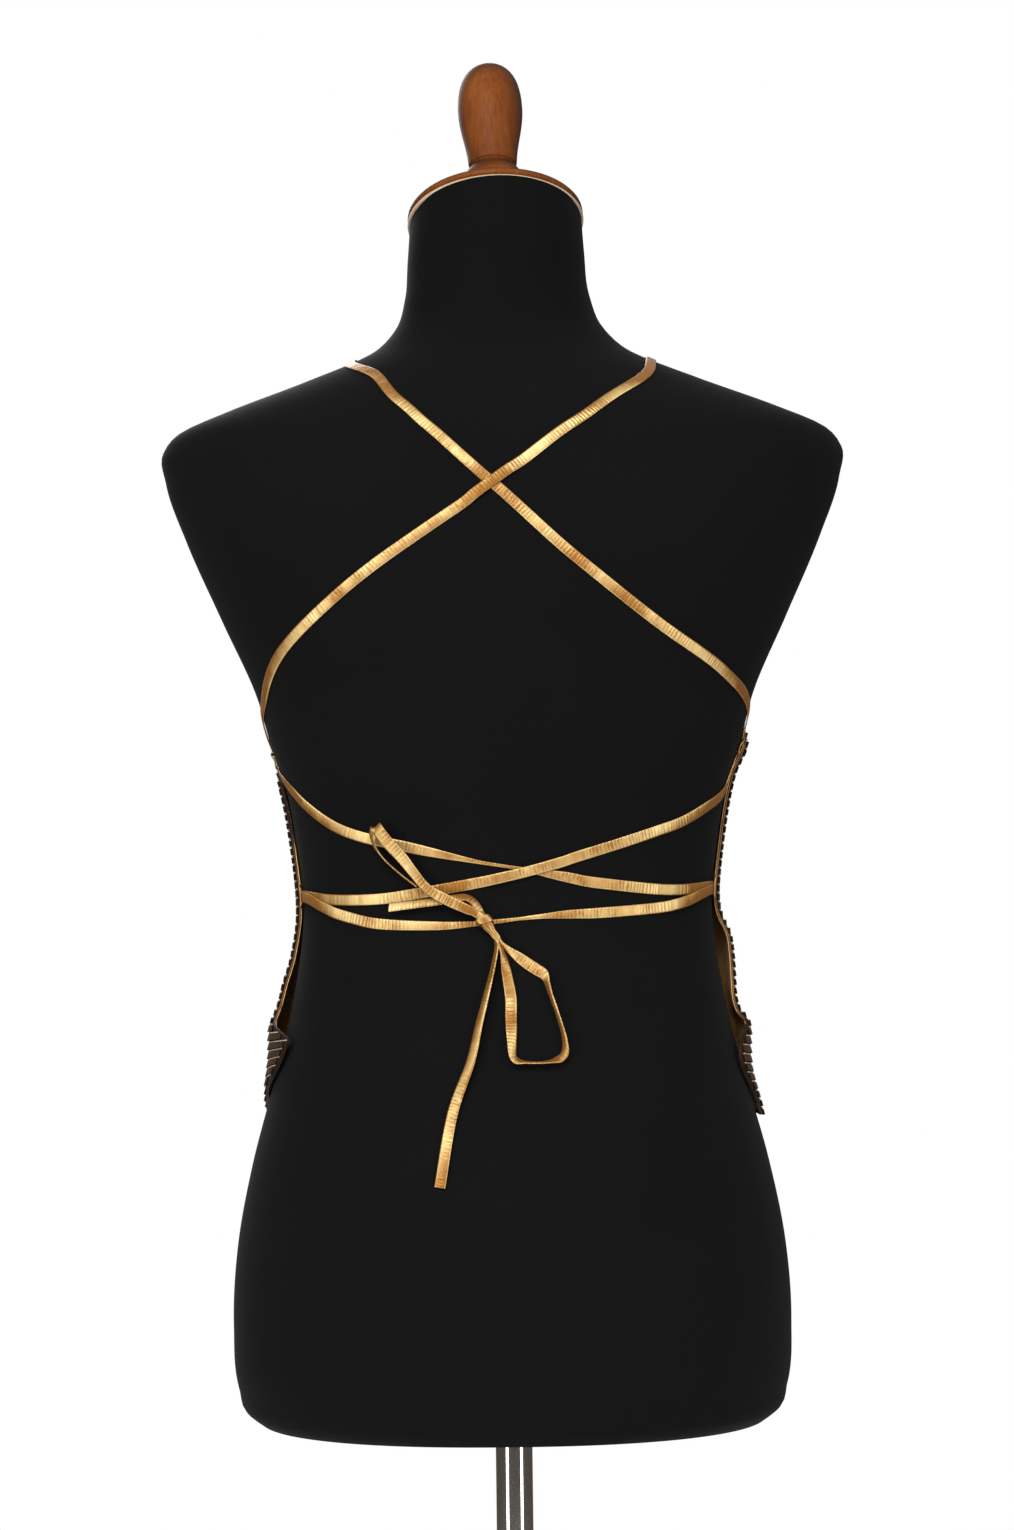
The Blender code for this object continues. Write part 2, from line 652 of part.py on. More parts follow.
def cloth_layer(lift_off, pull_back=0.0):
    """The cloth's grid of points at lift_off from the form, its edges drawn in by pull_back."""
    side, turn, height = cloth_grid()
    around = 180.0 - side * turn
    normal = form_normal(around, height, BUST_BRIDGE)
    lift = cloth_lift(side, turn, height)[..., None]
    points = form_point(around, height, BUST_BRIDGE) + normal * (lift + lift_off)
    for edge, neighbour in (((0,), (1,)), ((-1,), (-2,))):
        for rows in ((edge, neighbour), ((slice(None), *edge), (slice(None), *neighbour))):
            inward = points[rows[1]] - points[rows[0]]
            length = np.linalg.norm(inward, axis=-1, keepdims=True)
            points[rows[0]] = points[rows[0]] + inward * (pull_back / length)
    return points


def build_cloth(name, inside, wall, pull_back, material):
    """A wall of cloth: its inner face lies `inside` off the form, and its rim closes it.

    Every layer cuts its cells along the same diagonals, the short ones, so layers never meet.
    """
    inner = cloth_layer(inside, pull_back)
    outer = cloth_layer(inside + wall, pull_back)
    rows, columns = inner.shape[:2]
    points = np.concatenate([inner.reshape(-1, 3), outer.reshape(-1, 3)])
    count = rows * columns
    grid = cloth_layer(0.0)
    rising = np.linalg.norm(grid[1:, 1:] - grid[:-1, :-1], axis=-1)
    falling = np.linalg.norm(grid[1:, :-1] - grid[:-1, 1:], axis=-1)
    faces = []
    for row in range(rows - 1):
        for column in range(columns - 1):
            near = row * columns + column
            far = near + columns
            halves = ((near, near + 1, far + 1), (near, far + 1, far))
            if falling[row, column] < rising[row, column]:
                halves = ((near, near + 1, far), (near + 1, far + 1, far))
            for corners in halves:
                faces.append(corners)
                faces.append(tuple(index + count for index in reversed(corners)))
    rim = [column for column in range(columns)]
    rim += [row * columns + columns - 1 for row in range(1, rows)]
    rim += [(rows - 1) * columns + column for column in range(columns - 2, -1, -1)]
    rim += [row * columns for row in range(rows - 2, 0, -1)]
    for start, end in zip(rim, rim[1:] + rim[:1]):
        faces.append((end, start, start + count, end + count))
    return add_object(name, points, faces, material)


def smooth_route(points, step):
    """Even stations on a smooth curve through the points, and each one's place in their list."""
    ends = np.concatenate([[2 * points[0] - points[1]], points, [2 * points[-1] - points[-2]]])
    part = np.linspace(0.0, 1.0, CURVE_PARTS, endpoint=False)[:, None]
    pieces = []
    for before, start, end, after in zip(ends, ends[1:], ends[2:], ends[3:]):
        slope = end - before
        bend = 2 * before - 5 * start + 4 * end - after
        turn = 3 * (start - end) + after - before
        pieces.append(start + 0.5 * part * (slope + part * (bend + part * turn)))
    fine = np.concatenate([*pieces, points[-1:]])
    place = np.linspace(0.0, len(points) - 1.0, len(fine))
    length = np.concatenate([[0.0], np.cumsum(np.linalg.norm(np.diff(fine, axis=0), axis=1))])
    even = np.linspace(0.0, length[-1], max(int(round(length[-1] / step)), 3) + 1)
    stations = np.stack([np.interp(even, length, fine[:, axis]) for axis in range(3)], axis=-1)
    return stations, np.interp(even, length, place)


def read_rows(table, column, place):
    return np.interp(place, np.arange(len(table)), table[:, column])


def laid_on(guide, points):
    """The nearest places on the form and its outward directions there, evened along the route."""
    found = [guide.find_nearest(Vector(point)) for point in points]
    places = np.array([place for place, normal, index, distance in found])
    normals = np.array([normal for place, normal, index, distance in found])
    padded = np.concatenate([normals[:1], normals, normals[-1:]])
    return places, unit(padded[:-2] + 2 * padded[1:-1] + padded[2:])


def gold_satin(name):
    return finish("gold satin, " + name.replace("_", " "), (0.62, 0.40, 0.16), 0.32, 0.5)


def band(name, centres, sides, ups, widths):
    """A flat satin band with square ends: sides and ups give its width and its face."""
    half_width = sides * (np.asarray(widths) / 2)[:, None]
    half_wall = ups * TIE_WALL / 2
    corners = (
        centres - half_width - half_wall,
        centres + half_width - half_wall,
        centres + half_width + half_wall,
        centres - half_width + half_wall,
    )
    points = np.stack(corners, axis=1).reshape(-1, 3)
    faces = ring_faces(len(centres), 4)
    last = (len(centres) - 1) * 4
    faces.append((3, 2, 1, 0))
    faces.append((last, last + 1, last + 2, last + 3))
    return add_object(name, points, faces, gold_satin(name))


def twisted(sides, ups, degrees):
    """Those directions turned about the band's own run."""
    angle = np.radians(degrees)[:, None]
    return (
        sides * np.cos(angle) + ups * np.sin(angle),
        ups * np.cos(angle) - sides * np.sin(angle),
    )


def band_on_form(name, guide, points, lift, widths, twist):
    """A band that follows the form, its lowest edge lift off it."""
    places, normals = laid_on(guide, points)
    turned_by = np.radians(twist)
    middle = lift + np.abs(np.sin(turned_by)) * widths / 2 + np.abs(np.cos(turned_by)) * TIE_WALL / 2
    centres = places + normals * middle[:, None]
    along = unit(np.gradient(centres, axis=0))
    sides = unit(np.cross(normals, along))
    ups = np.cross(along, sides)
    sides, ups = twisted(sides, ups, twist)
    return band(name, centres, sides, ups, widths)


def build_ties(guide):
    for name, rows in TIE_ROUTES.items():
        stations, place = smooth_route(form_point(rows[:, 0], rows[:, 1]), TIE_STEP)
        lift = TIE_LIFT + LAYER * read_rows(rows, 2, place)
        widths = read_rows(rows, 3, place) * MM
        band_on_form(name, guide, stations, lift, widths, np.zeros(len(stations)))


def build_loops(guide):
    for name, (rows, side, further, higher) in LOOPS.items():
        on_form = form_point(side * (rows[:, 0] + further), rows[:, 1] + higher * MM)
        places, normals = laid_on(guide, on_form)
        middle = TIE_LIFT + LAYER * rows[:, 2] + TIE_WALL / 2
        centres = smooth_route(places + normals * middle[:, None], LOOP_STEP)[0]
        along = unit(np.gradient(centres, axis=0))
        sides = unit(np.cross(laid_on(guide, centres)[1], along))
        band(name, centres, sides, np.cross(along, sides), np.full(len(centres), LOOP_WIDTH))


def behind_form(guide, across, up):
    """The place on the back of the form, and its outward direction, at millimetres from the knot."""
    knot = form_point(KNOT_TURN, KNOT_HEIGHT)
    start = Vector((knot[0] + across * MM, -1.0, knot[2] + up * MM))
    place, normal, index, distance = guide.ray_cast(start, Vector((0, 1, 0)))
    return np.array(place), np.array(normal)


def build_bow(guide):
    for name, rows in BOW_BANDS.items():
        points = np.array([behind_form(guide, row[0], row[1])[0] for row in rows])
        stations, place = smooth_route(points, BOW_STEP)
        lift = read_rows(rows, 2, place) * MM
        widths = read_rows(rows, 3, place) * MM
        twist = read_rows(rows, 4, place)
        band_on_form(name, guide, stations, lift, widths, twist)
    build_upper_ear(guide)
    build_knot(guide)


def build_upper_ear(guide):
    """The ear that stands off the form, its width kept square to its run."""
    points = []
    directions = []
    for row in UPPER_EAR:
        place, normal = behind_form(guide, row[0], row[1])
        across = unit(np.array([1.0, 0.0, 0.0]) - normal * normal[0])
        points.append(place + normal * row[2] * MM)
        directions.append(row[4] * across + row[5] * np.cross(normal, across) + row[6] * normal)
    centres, place = smooth_route(np.array(points), EAR_STEP)
    along = unit(np.gradient(centres, axis=0))
    square = np.stack([read_rows(np.array(directions), axis, place) for axis in range(3)], axis=-1)
    sides = unit(square - along * (along * square).sum(-1, keepdims=True))
    widths = read_rows(UPPER_EAR, 3, place) * MM
    band("bow_ear_upper", centres, sides, np.cross(along, sides), widths)


def build_knot(guide, around=12):
    """A lofted lump: the wrap of the knot and the root below it, from which the bands fall."""
    centres = []
    normals = []
    for row in KNOT_SECTIONS:
        place, normal = behind_form(guide, row[0], row[1])
        centres.append(place + normal * row[2] * MM)
        normals.append(normal)
    along = unit(np.gradient(np.array(centres), axis=0))
    sides = unit(np.cross(normals, along))
    ups = np.cross(along, sides)
    angles = np.arange(around) * 2 * math.pi / around
    points = [
        centre + MM * (side * math.cos(angle) * row[3] + up * math.sin(angle) * row[4])
        for centre, side, up, row in zip(centres, sides, ups, KNOT_SECTIONS)
        for angle in angles
    ]
    faces = ring_faces(len(centres), around)
    faces.append(tuple(reversed(range(around))))
    faces.append(tuple(range((len(centres) - 1) * around, len(centres) * around)))
    return add_object("bow_knot", points, faces, gold_satin("bow_knot"))


def main():
    clear_scene()
    build_torso()
    build_stand()
    build_neck()
    lining = finish("bronze satin", (0.30, 0.15, 0.05), 0.35, 0.3)
    beads = finish("bugle beads", (0.035, 0.025, 0.018), 0.25, 0.2)
    build_cloth("front_lining", LINING_LIFT, LINING_WALL, 0.0, lining)
    panel_inside = LINING_LIFT + LINING_WALL + PANEL_GAP
    build_cloth("front_panel", panel_inside, PANEL_WALL, LINING_PAST_EDGE, beads)
    guide = form_guide()
    build_ties(guide)
    build_loops(guide)
    build_bow(guide)


if __name__ == "__main__":
    main()
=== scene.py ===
# %% [markdown]
# # A beaded halter top on a dress form
#
# The top has one beaded front and no back. Two long satin ties run over the shoulders, cross
# behind, pass through small loops at the underarms and at the waist, and end in a bow. It is worn
# by a black form with a turned wooden knob, on a chrome stand.
#
# Each code cell makes one piece. The shapes are functions of two parameters, worked out as whole
# numpy arrays, because a garment is mostly long smooth surfaces that share one form beneath them.

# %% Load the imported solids
import math

import bpy
import numpy as np
from mathutils import Matrix, Vector


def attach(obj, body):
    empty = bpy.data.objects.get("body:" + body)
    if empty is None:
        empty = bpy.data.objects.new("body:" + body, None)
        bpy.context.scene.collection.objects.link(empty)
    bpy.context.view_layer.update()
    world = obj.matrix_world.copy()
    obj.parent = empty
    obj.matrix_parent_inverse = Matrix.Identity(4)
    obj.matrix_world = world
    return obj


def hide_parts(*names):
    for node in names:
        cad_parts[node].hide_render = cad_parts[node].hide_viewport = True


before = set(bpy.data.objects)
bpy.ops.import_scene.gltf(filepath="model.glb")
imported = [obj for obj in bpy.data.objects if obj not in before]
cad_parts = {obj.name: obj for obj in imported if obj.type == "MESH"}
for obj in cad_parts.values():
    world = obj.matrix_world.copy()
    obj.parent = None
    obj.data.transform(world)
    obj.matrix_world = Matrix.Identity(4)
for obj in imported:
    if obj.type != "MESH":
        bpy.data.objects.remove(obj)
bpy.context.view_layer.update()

MM = 0.001

# %% [markdown]
# ## Camera
#
# The photograph looks straight at the back from about the height of the waist, with a long lens
# and a slight roll. A camera could be aimed with a constraint, but writing its axes as the columns
# of a matrix states the roll and the level view exactly.

# %% Camera
ROLL = math.radians(0.685)
LENS = 98.04
CAMERA_PLACE = (0.0006, -2.5, 0.670)
camera = bpy.data.objects.new("camera", bpy.data.cameras.new("camera"))
camera.data.sensor_width = 36.0
camera.data.lens = LENS
camera.matrix_world = Matrix((
    (math.cos(ROLL), math.sin(ROLL), 0.0, CAMERA_PLACE[0]),
    (0.0, 0.0, -1.0, CAMERA_PLACE[1]),
    (-math.sin(ROLL), math.cos(ROLL), 0.0, CAMERA_PLACE[2]),
    (0.0, 0.0, 0.0, 1.0),
))
bpy.context.scene.collection.objects.link(camera)
bpy.context.scene.camera = camera
print("camera at:", CAMERA_PLACE, "lens:", LENS)

# %% [markdown]
# ## Shader helpers
#
# Every finish here is a small tree of nodes. One helper adds a node and fills its sockets, so that
# a material reads as a list of what it is made of. Effects that several finishes share are node
# groups: a slow drift of tone, the fine relief of woven threads, and the faint smears that break
# up a polished surface.

# %% Shader helpers and shared groups
def add_node(tree, kind, inputs=(), **settings):
    """A new node in the tree; each input gets a value or the socket that feeds it."""
    node = tree.nodes.new(kind)
    for key, value in settings.items():
        setattr(node, key, value)
    for key, value in dict(inputs).items():
        if isinstance(value, bpy.types.NodeSocket):
            tree.links.new(value, node.inputs[key])
        else:
            node.inputs[key].default_value = value
    return node


def mix_colors(tree, factor, first, second):
    """The colour that goes from first to second as factor goes from 0 to 1."""
    first, second = (color if isinstance(color, bpy.types.NodeSocket) else (*color, 1.0)
                     for color in (first, second))
    return add_node(tree, "ShaderNodeMix", {0: factor, 6: first, 7: second}, data_type="RGBA").outputs[2]


def calculate(tree, operation, *values):
    """The result of one step of arithmetic on numbers or sockets."""
    return add_node(tree, "ShaderNodeMath", dict(enumerate(values)), operation=operation).outputs[0]


def remap(tree, value, low, high, to_low, to_high):
    """The value's span from low to high, stretched to run from to_low to to_high."""
    inputs = {"Value": value, "From Min": low, "From Max": high, "To Min": to_low, "To Max": to_high}
    return add_node(tree, "ShaderNodeMapRange", inputs).outputs[0]


def new_group(name, inputs, output):
    """An empty shader group with these float inputs, a vector input and one float output."""
    tree = bpy.data.node_groups.new(name, "ShaderNodeTree")
    tree.interface.new_socket(name="Vector", in_out="INPUT", socket_type="NodeSocketVector")
    for socket_name, value in inputs.items():
        socket = tree.interface.new_socket(name=socket_name, in_out="INPUT", socket_type="NodeSocketFloat")
        socket.default_value = value
    tree.interface.new_socket(name=output, in_out="OUTPUT", socket_type="NodeSocketFloat")
    return tree, tree.nodes.new("NodeGroupInput").outputs, tree.nodes.new("NodeGroupOutput").inputs


def use_group(tree, group, **inputs):
    """The group's output when it gets these inputs."""
    return add_node(tree, "ShaderNodeGroup", inputs, node_tree=group).outputs[0]


drift, given, result = new_group("tone drift", {"Scale": 30.0, "Contrast": 0.5}, "Factor")
noise = add_node(drift, "ShaderNodeTexNoise", {
    "Vector": given["Vector"], "Scale": given["Scale"], "Detail": 3.0, "Roughness": 0.55})
centred = calculate(drift, "SUBTRACT", noise.outputs[0], 0.5)
gain = calculate(drift, "MULTIPLY", given["Contrast"], 4.0)
stretched = calculate(drift, "MULTIPLY_ADD", centred, gain, 0.5)
drift.links.new(add_node(drift, "ShaderNodeClamp", {"Value": stretched}).outputs[0], result["Factor"])

threads, given, result = new_group("woven threads", {"Along": 900.0, "Across": 2600.0}, "Height")
parts = add_node(threads, "ShaderNodeSeparateXYZ", {0: given["Vector"]})
warp = calculate(threads, "SINE", calculate(threads, "MULTIPLY", parts.outputs[1], given["Across"]))
weft = calculate(threads, "SINE", calculate(threads, "MULTIPLY", parts.outputs[0], given["Along"]))
slub = add_node(threads, "ShaderNodeTexNoise", {"Vector": given["Vector"], "Scale": 700.0, "Detail": 2.0})
crossed = calculate(threads, "MULTIPLY", warp, weft)
woven = calculate(threads, "MULTIPLY_ADD", crossed, 0.25, slub.outputs[0])
threads.links.new(woven, result["Height"])

smears, given, result = new_group("faint smears", {"Low": 0.08, "High": 0.16, "Scale": 18.0}, "Roughness")
rubbed = add_node(smears, "ShaderNodeMapping", {"Vector": given["Vector"], "Scale": (1.0, 1.0, 0.35)})
smear = add_node(smears, "ShaderNodeTexNoise", {
    "Vector": rubbed.outputs[0], "Scale": given["Scale"], "Detail": 4.0, "Roughness": 0.6})
span = calculate(smears, "SUBTRACT", given["High"], given["Low"])
worn = calculate(smears, "MULTIPLY_ADD", smear.outputs[0], span, given["Low"])
smears.links.new(worn, result["Roughness"])


def new_material(name, **constants):
    """A material whose Principled shader has these constants, its tree and that shader."""
    material = bpy.data.materials.new(name)
    material.use_nodes = True
    shader = material.node_tree.nodes["Principled BSDF"]
    for key, value in constants.items():
        socket = shader.inputs[key.replace("_", " ").title().replace("Ior", "IOR")]
        socket.default_value = (*value, 1.0) if isinstance(value, tuple) else value
    return material, material.node_tree, shader


def add_bump(tree, shader, height, strength, distance):
    """The shader's normal leans as if the surface had this height."""
    bump = add_node(tree, "ShaderNodeBump", {"Height": height, "Strength": strength, "Distance": distance})
    tree.links.new(bump.outputs[0], shader.inputs["Normal"])


def paint(tree, shader, color, rough):
    """These two sockets feed the shader's colour and its roughness."""
    tree.links.new(color, shader.inputs["Base Color"])
    tree.links.new(rough, shader.inputs["Roughness"])


def coordinates(tree, kind="Object"):
    return add_node(tree, "ShaderNodeTexCoord").outputs[kind]


def woven_finish(name, drifting, colors, rough, thread, bump, kind="Object", **constants):
    """Cloth that drifts between two colours and shows the relief of its threads.

    Drifting is the drift's scale and contrast, thread the frequencies of the threads along and
    across, and bump the relief's strength and distance.
    """
    material, tree, shader = new_material(name, **constants)
    place = coordinates(tree, kind)
    tone = use_group(tree, drift, Vector=place, Scale=drifting[0], Contrast=drifting[1])
    paint(tree, shader, mix_colors(tree, tone, *colors), remap(tree, tone, 0.0, 1.0, *rough))
    relief = use_group(tree, threads, Vector=place, Along=thread[0], Across=thread[1])
    add_bump(tree, shader, relief, *bump)
    return material


print("shared groups:", [group.name for group in bpy.data.node_groups])

# %% [markdown]
# ## Light and floor
#
# The object was photographed in an even white studio. A closed room of white cards would cost many
# bounces, so a pale disc stands for the floor, the world gives a soft fill, and a few large area
# lamps make the highlights: a key above the camera, a low fill on either side of it, a lamp on the
# far side and a tall strip left and right. What the camera sees behind is plain white.

# %% Light and floor
SOFTBOXES = (  # name, place, the height on the pole's axis that it aims at, size, watts
    ("key box", (-0.5, -2.2, 2.4), 0.70, (1.2, 1.0), 50.0),
    ("left fill", (-1.0, -2.6, 0.50), 0.50, (1.0, 0.9), 6.0),
    ("right fill", (1.0, -2.6, 0.50), 0.50, (1.0, 0.9), 6.0),
    ("front box", (-0.7, 2.3, 1.8), 0.70, (1.6, 1.2), 40.0),
    ("left strip", (-1.60, -1.60, 0.70), 0.60, (0.60, 2.2), 22.0),
    ("right strip", (1.70, -1.60, 0.70), 0.60, (0.60, 2.2), 22.0),
)
LOW_GLOW = (0.085, 0.072, 0.058)
HIGH_GLOW = (0.60, 0.60, 0.59)


def softbox(name, place, aim, size, power):
    """A rectangular lamp that faces the pole's axis at the height aim."""
    lamp = bpy.data.lights.new(name, "AREA")
    lamp.shape = "RECTANGLE"
    lamp.size, lamp.size_y = size
    lamp.energy = power
    holder = bpy.data.objects.new(name, lamp)
    toward = Vector((0.0, 0.0, aim)) - Vector(place)
    turned_to = toward.to_track_quat("-Z", "Y").to_matrix().to_4x4()
    holder.matrix_world = Matrix.Translation(place) @ turned_to
    bpy.context.scene.collection.objects.link(holder)


for box in SOFTBOXES:
    softbox(*box)

world = bpy.data.worlds.new("white studio")
bpy.context.scene.world = world
world.use_nodes = True
studio = world.node_tree
upward = add_node(studio, "ShaderNodeSeparateXYZ", {0: coordinates(studio)}).outputs[2]
glow = mix_colors(studio, remap(studio, upward, -0.15, 0.5, 0.0, 1.0), LOW_GLOW, HIGH_GLOW)
fill_light, seen_white = (
    add_node(studio, "ShaderNodeBackground", {"Color": color, "Strength": 1.0}).outputs[0]
    for color in (glow, (1.0, 1.0, 1.0, 1.0)))
is_seen = add_node(studio, "ShaderNodeLightPath").outputs["Is Camera Ray"]
either = add_node(studio, "ShaderNodeMixShader", {0: is_seen, 1: fill_light, 2: seen_white})
studio.links.new(either.outputs[0], studio.nodes["World Output"].inputs["Surface"])
bpy.context.scene.view_settings.view_transform = "Standard"
print("lamps:", len(SOFTBOXES))

# %% [markdown]
# ## From arrays to meshes
#
# A surface is a grid of points, rows one way and columns the other. These helpers turn a grid into
# quads, close its ends, and put the result into a mesh object that sits at the origin.

# %% From arrays to meshes
def grid_faces(rows, columns, closed=False):
    """Quads between neighbouring rows and columns; closed joins the last column to the first."""
    low = np.arange(rows - 1)[:, None] * columns + np.arange(columns if closed else columns - 1)
    high = np.arange(rows - 1)[:, None] * columns + (np.arange(low.shape[1]) + 1) % columns
    return np.stack([low, high, high + columns, low + columns], axis=-1).reshape(-1, 4)


def tube_faces(rows, around):
    """Rings joined by quads, with a fan at either end to the two points that follow the rings."""
    faces = grid_faces(rows, around, closed=True).tolist()
    foot, last = rows * around, (rows - 1) * around
    faces += [(foot, (step + 1) % around, step) for step in range(around)]
    return faces + [(foot + 1, last + step, last + (step + 1) % around) for step in range(around)]


def put_mesh(name, points, faces, material, uv=None, tone=None, sharp=40):
    """An object at the origin with this mesh; uv is a pair and tone a number for each point."""
    mesh = bpy.data.meshes.new(name)
    mesh.from_pydata(np.asarray(points, float).reshape(-1, 3).tolist(), [], faces)
    mesh.materials.append(material)
    mesh.shade_smooth()
    mesh.set_sharp_from_angle(angle=math.radians(sharp))
    if uv is not None:
        corners = np.empty(len(mesh.loops), np.int32)
        mesh.loops.foreach_get("vertex_index", corners)
        layer = mesh.uv_layers.new(name="UVMap")
        layer.data.foreach_set("uv", np.asarray(uv, np.float32).reshape(-1, 2)[corners].ravel())
    if tone is not None:
        values = np.asarray(tone, np.float32)
        mesh.attributes.new("tone", "FLOAT", "POINT").data.foreach_set("value", values)
    piece = bpy.data.objects.new(name, mesh)
    bpy.context.scene.collection.objects.link(piece)
    return piece


def wear(piece, slot, *nodes):
    """The piece rides on the one body and stands for these solids; slot is not used."""
    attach(piece, "root")
    if nodes:
        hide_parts(*nodes)
    print(piece.name, "faces:", len(piece.data.polygons))
    return piece


def unit(vectors):
    """Each vector divided by its own length."""
    return vectors / np.linalg.norm(vectors, axis=-1, keepdims=True)


def circle(count):
    """So many angles evenly round, from 0."""
    return np.arange(count) * math.tau / count


def path_length(points):
    """The distance run at each point, from 0 at the first."""
    return np.concatenate([[0.0], np.cumsum(np.linalg.norm(np.diff(points, axis=0), axis=1))])


def smoothstep(value, low, high):
    """0 up to low, 1 from high on, and an easy S between them."""
    part = np.clip((np.asarray(value, float) - low) / (high - low), 0.0, 1.0)
    return part * part * (3.0 - 2.0 * part)


floor_white, tree, shader = new_material("floor paint", roughness=0.6)
tone = use_group(tree, drift, Vector=coordinates(tree), Scale=3.0, Contrast=0.3)
tree.links.new(mix_colors(tree, tone, (0.80, 0.79, 0.78), (0.84, 0.83, 0.82)), shader.inputs["Base Color"])
FLOOR_CORNERS = 128
FLOOR_LEVEL = -0.0004
ring = circle(FLOOR_CORNERS)
disc = np.stack([np.cos(ring), np.sin(ring), np.full(FLOOR_CORNERS, FLOOR_LEVEL)], axis=-1)
put_mesh("floor", disc, [tuple(range(FLOOR_CORNERS))], floor_white)

# %% [markdown]
# ## The form
#
# A limbless display form is a padded shell under stretched black jersey. It could be sculpted, but
# everything else lies on it, so it is a function instead: a table gives the half width, the depth
# behind and in front and the squareness of its sections, and a smooth cubic runs between the rows.

# %% The form's shape
FORM_FOOT = 0.280
NECK_TILT = math.radians(20)
NECK_LEAN = math.radians(2)
NECK_DRIFT = 0.0024
DRIFT_HEIGHTS = (0.625, 0.690)
NECK_DEPTH = 0.060 / 0.052
NECK_TOP = 0.7173
NECK_BASE = 0.651
BUST = {"height": 0.428, "across": 0.072, "rise": 0.017, "spread": 0.048}
BRIDGE = 0.8

# height, half width, depth behind, depth in front, middle, squareness
FORM_SECTIONS = np.array([
    (0.0000, 0.1510, 0.1190, 0.1040, 0.000, 2.3),
    (0.0060, 0.1590, 0.1255, 0.1100, 0.000, 2.3),
    (0.0200, 0.1640, 0.1290, 0.1140, 0.000, 2.3),
    (0.0570, 0.1668, 0.1310, 0.1170, 0.000, 2.3),
    (0.1050, 0.1638, 0.1285, 0.1180, 0.000, 2.3),
    (0.1530, 0.1545, 0.1210, 0.1160, 0.000, 2.3),
    (0.2010, 0.1415, 0.1090, 0.1110, 0.000, 2.2),
    (0.2490, 0.1295, 0.0940, 0.1030, 0.000, 2.2),
    (0.3060, 0.1225, 0.0820, 0.0970, 0.000, 2.2),
    (0.3450, 0.1262, 0.0850, 0.1010, 0.000, 2.2),
    (0.3810, 0.1330, 0.0920, 0.1120, 0.000, 2.2),
    (0.4050, 0.1412, 0.0970, 0.1190, 0.000, 2.2),
    (0.4300, 0.1480, 0.1010, 0.1230, 0.000, 2.2),
    (0.4770, 0.1686, 0.1050, 0.1200, 0.000, 2.2),
    (0.5250, 0.1896, 0.1030, 0.1070, 0.000, 2.2),
    (0.5610, 0.2019, 0.0960, 0.0940, 0.000, 2.1),
    (0.5790, 0.2033, 0.0900, 0.0870, 0.000, 2.0),
    (0.5910, 0.1929, 0.0840, 0.0800, 0.000, 2.0),
    (0.6030, 0.1656, 0.0770, 0.0750, 0.001, 2.0),
    (0.6210, 0.1179, 0.0650, 0.0680, 0.004, 2.0),
    (0.6390, 0.0765, 0.0570, 0.0600, 0.010, 2.0),
    (0.6510, 0.0640, 0.0530, 0.0560, 0.013, 2.0),
    (0.6720, 0.0558, 0.0525, 0.0550, 0.018, 2.0),
    (0.6960, 0.0535, 0.0560, 0.0575, 0.022, 2.0),
    (NECK_TOP, 0.0520, 0.0600, 0.0600, 0.026, 2.0),
])


def table_column(table, index, height):
    """A column at any height: a cubic that meets each row with the slope across its neighbours."""
    rows, values = table[:, 0], table[:, index]
    slopes = np.gradient(values, rows)
    height = np.clip(np.asarray(height, float), rows[0], rows[-1])
    low = np.clip(np.searchsorted(rows, height, side="right") - 1, 0, len(rows) - 2)
    span = rows[low + 1] - rows[low]
    part = (height - rows[low]) / span
    start = values[low] * (1 + 2 * part) + slopes[low] * span * part
    end = values[low + 1] * (3 - 2 * part) - slopes[low + 1] * span * (1 - part)
    return start * (1 - part) ** 2 + end * part**2


def form_point(turn, height, bridge=0.0):
    """Points of the form, turn degrees round from the middle of the back.

    A section is a superellipse, |x/w|^n + |y/d|^n = 1, deeper behind or in front. Two low bell
    curves raise the bust; bridge is how much of the valley between them a cloth spans.
    """
    turn, height = np.broadcast_arrays(np.radians(np.asarray(turn, float)), height)
    half_width, behind, in_front, middle, power = (
        table_column(FORM_SECTIONS, index, height) for index in range(1, 6))
    sine, cosine = np.sin(turn), np.cos(turn)
    reach = (np.abs(sine) ** power + np.abs(cosine) ** power) ** (-1.0 / power)
    across = half_width * reach * sine
    along = middle - np.where(cosine > 0, behind, in_front) * reach * cosine
    from_middle = np.abs(across)
    from_middle = from_middle + bridge * np.maximum(BUST["across"] - from_middle, 0.0)
    rise = np.exp(-(((from_middle - BUST["across"]) / BUST["spread"]) ** 2))
    rise = rise * np.exp(-(((height - BUST["height"]) / BUST["spread"]) ** 2))
    along = along + BUST["rise"] * rise * smoothstep(-cosine, 0.0, 0.5)
    tilt = math.tan(NECK_TILT) * smoothstep(height, NECK_BASE, NECK_TOP)
    lean = math.tan(NECK_LEAN) * smoothstep(height, NECK_BASE, NECK_TOP)
    up = FORM_FOOT + height - tilt * (along - middle) + lean * across
    return np.stack([across - NECK_DRIFT * smoothstep(height, *DRIFT_HEIGHTS), along, up], axis=-1)


def form_normal(turn, height, bridge=0.0):
    """Outward directions: the cross product of the surface's steps round and up."""
    around = form_point(turn + 0.5, height, bridge) - form_point(turn - 0.5, height, bridge)
    upward = form_point(turn, height + MM, bridge) - form_point(turn, height - MM, bridge)
    return unit(np.cross(around, upward))


print("form sections:", len(FORM_SECTIONS))

# %% [markdown]
# ### The jersey
#
# The cover is a fine black knit that hardly shines. Its rings lie at even heights and at every row
# of the table, so that no measured section is cut off.

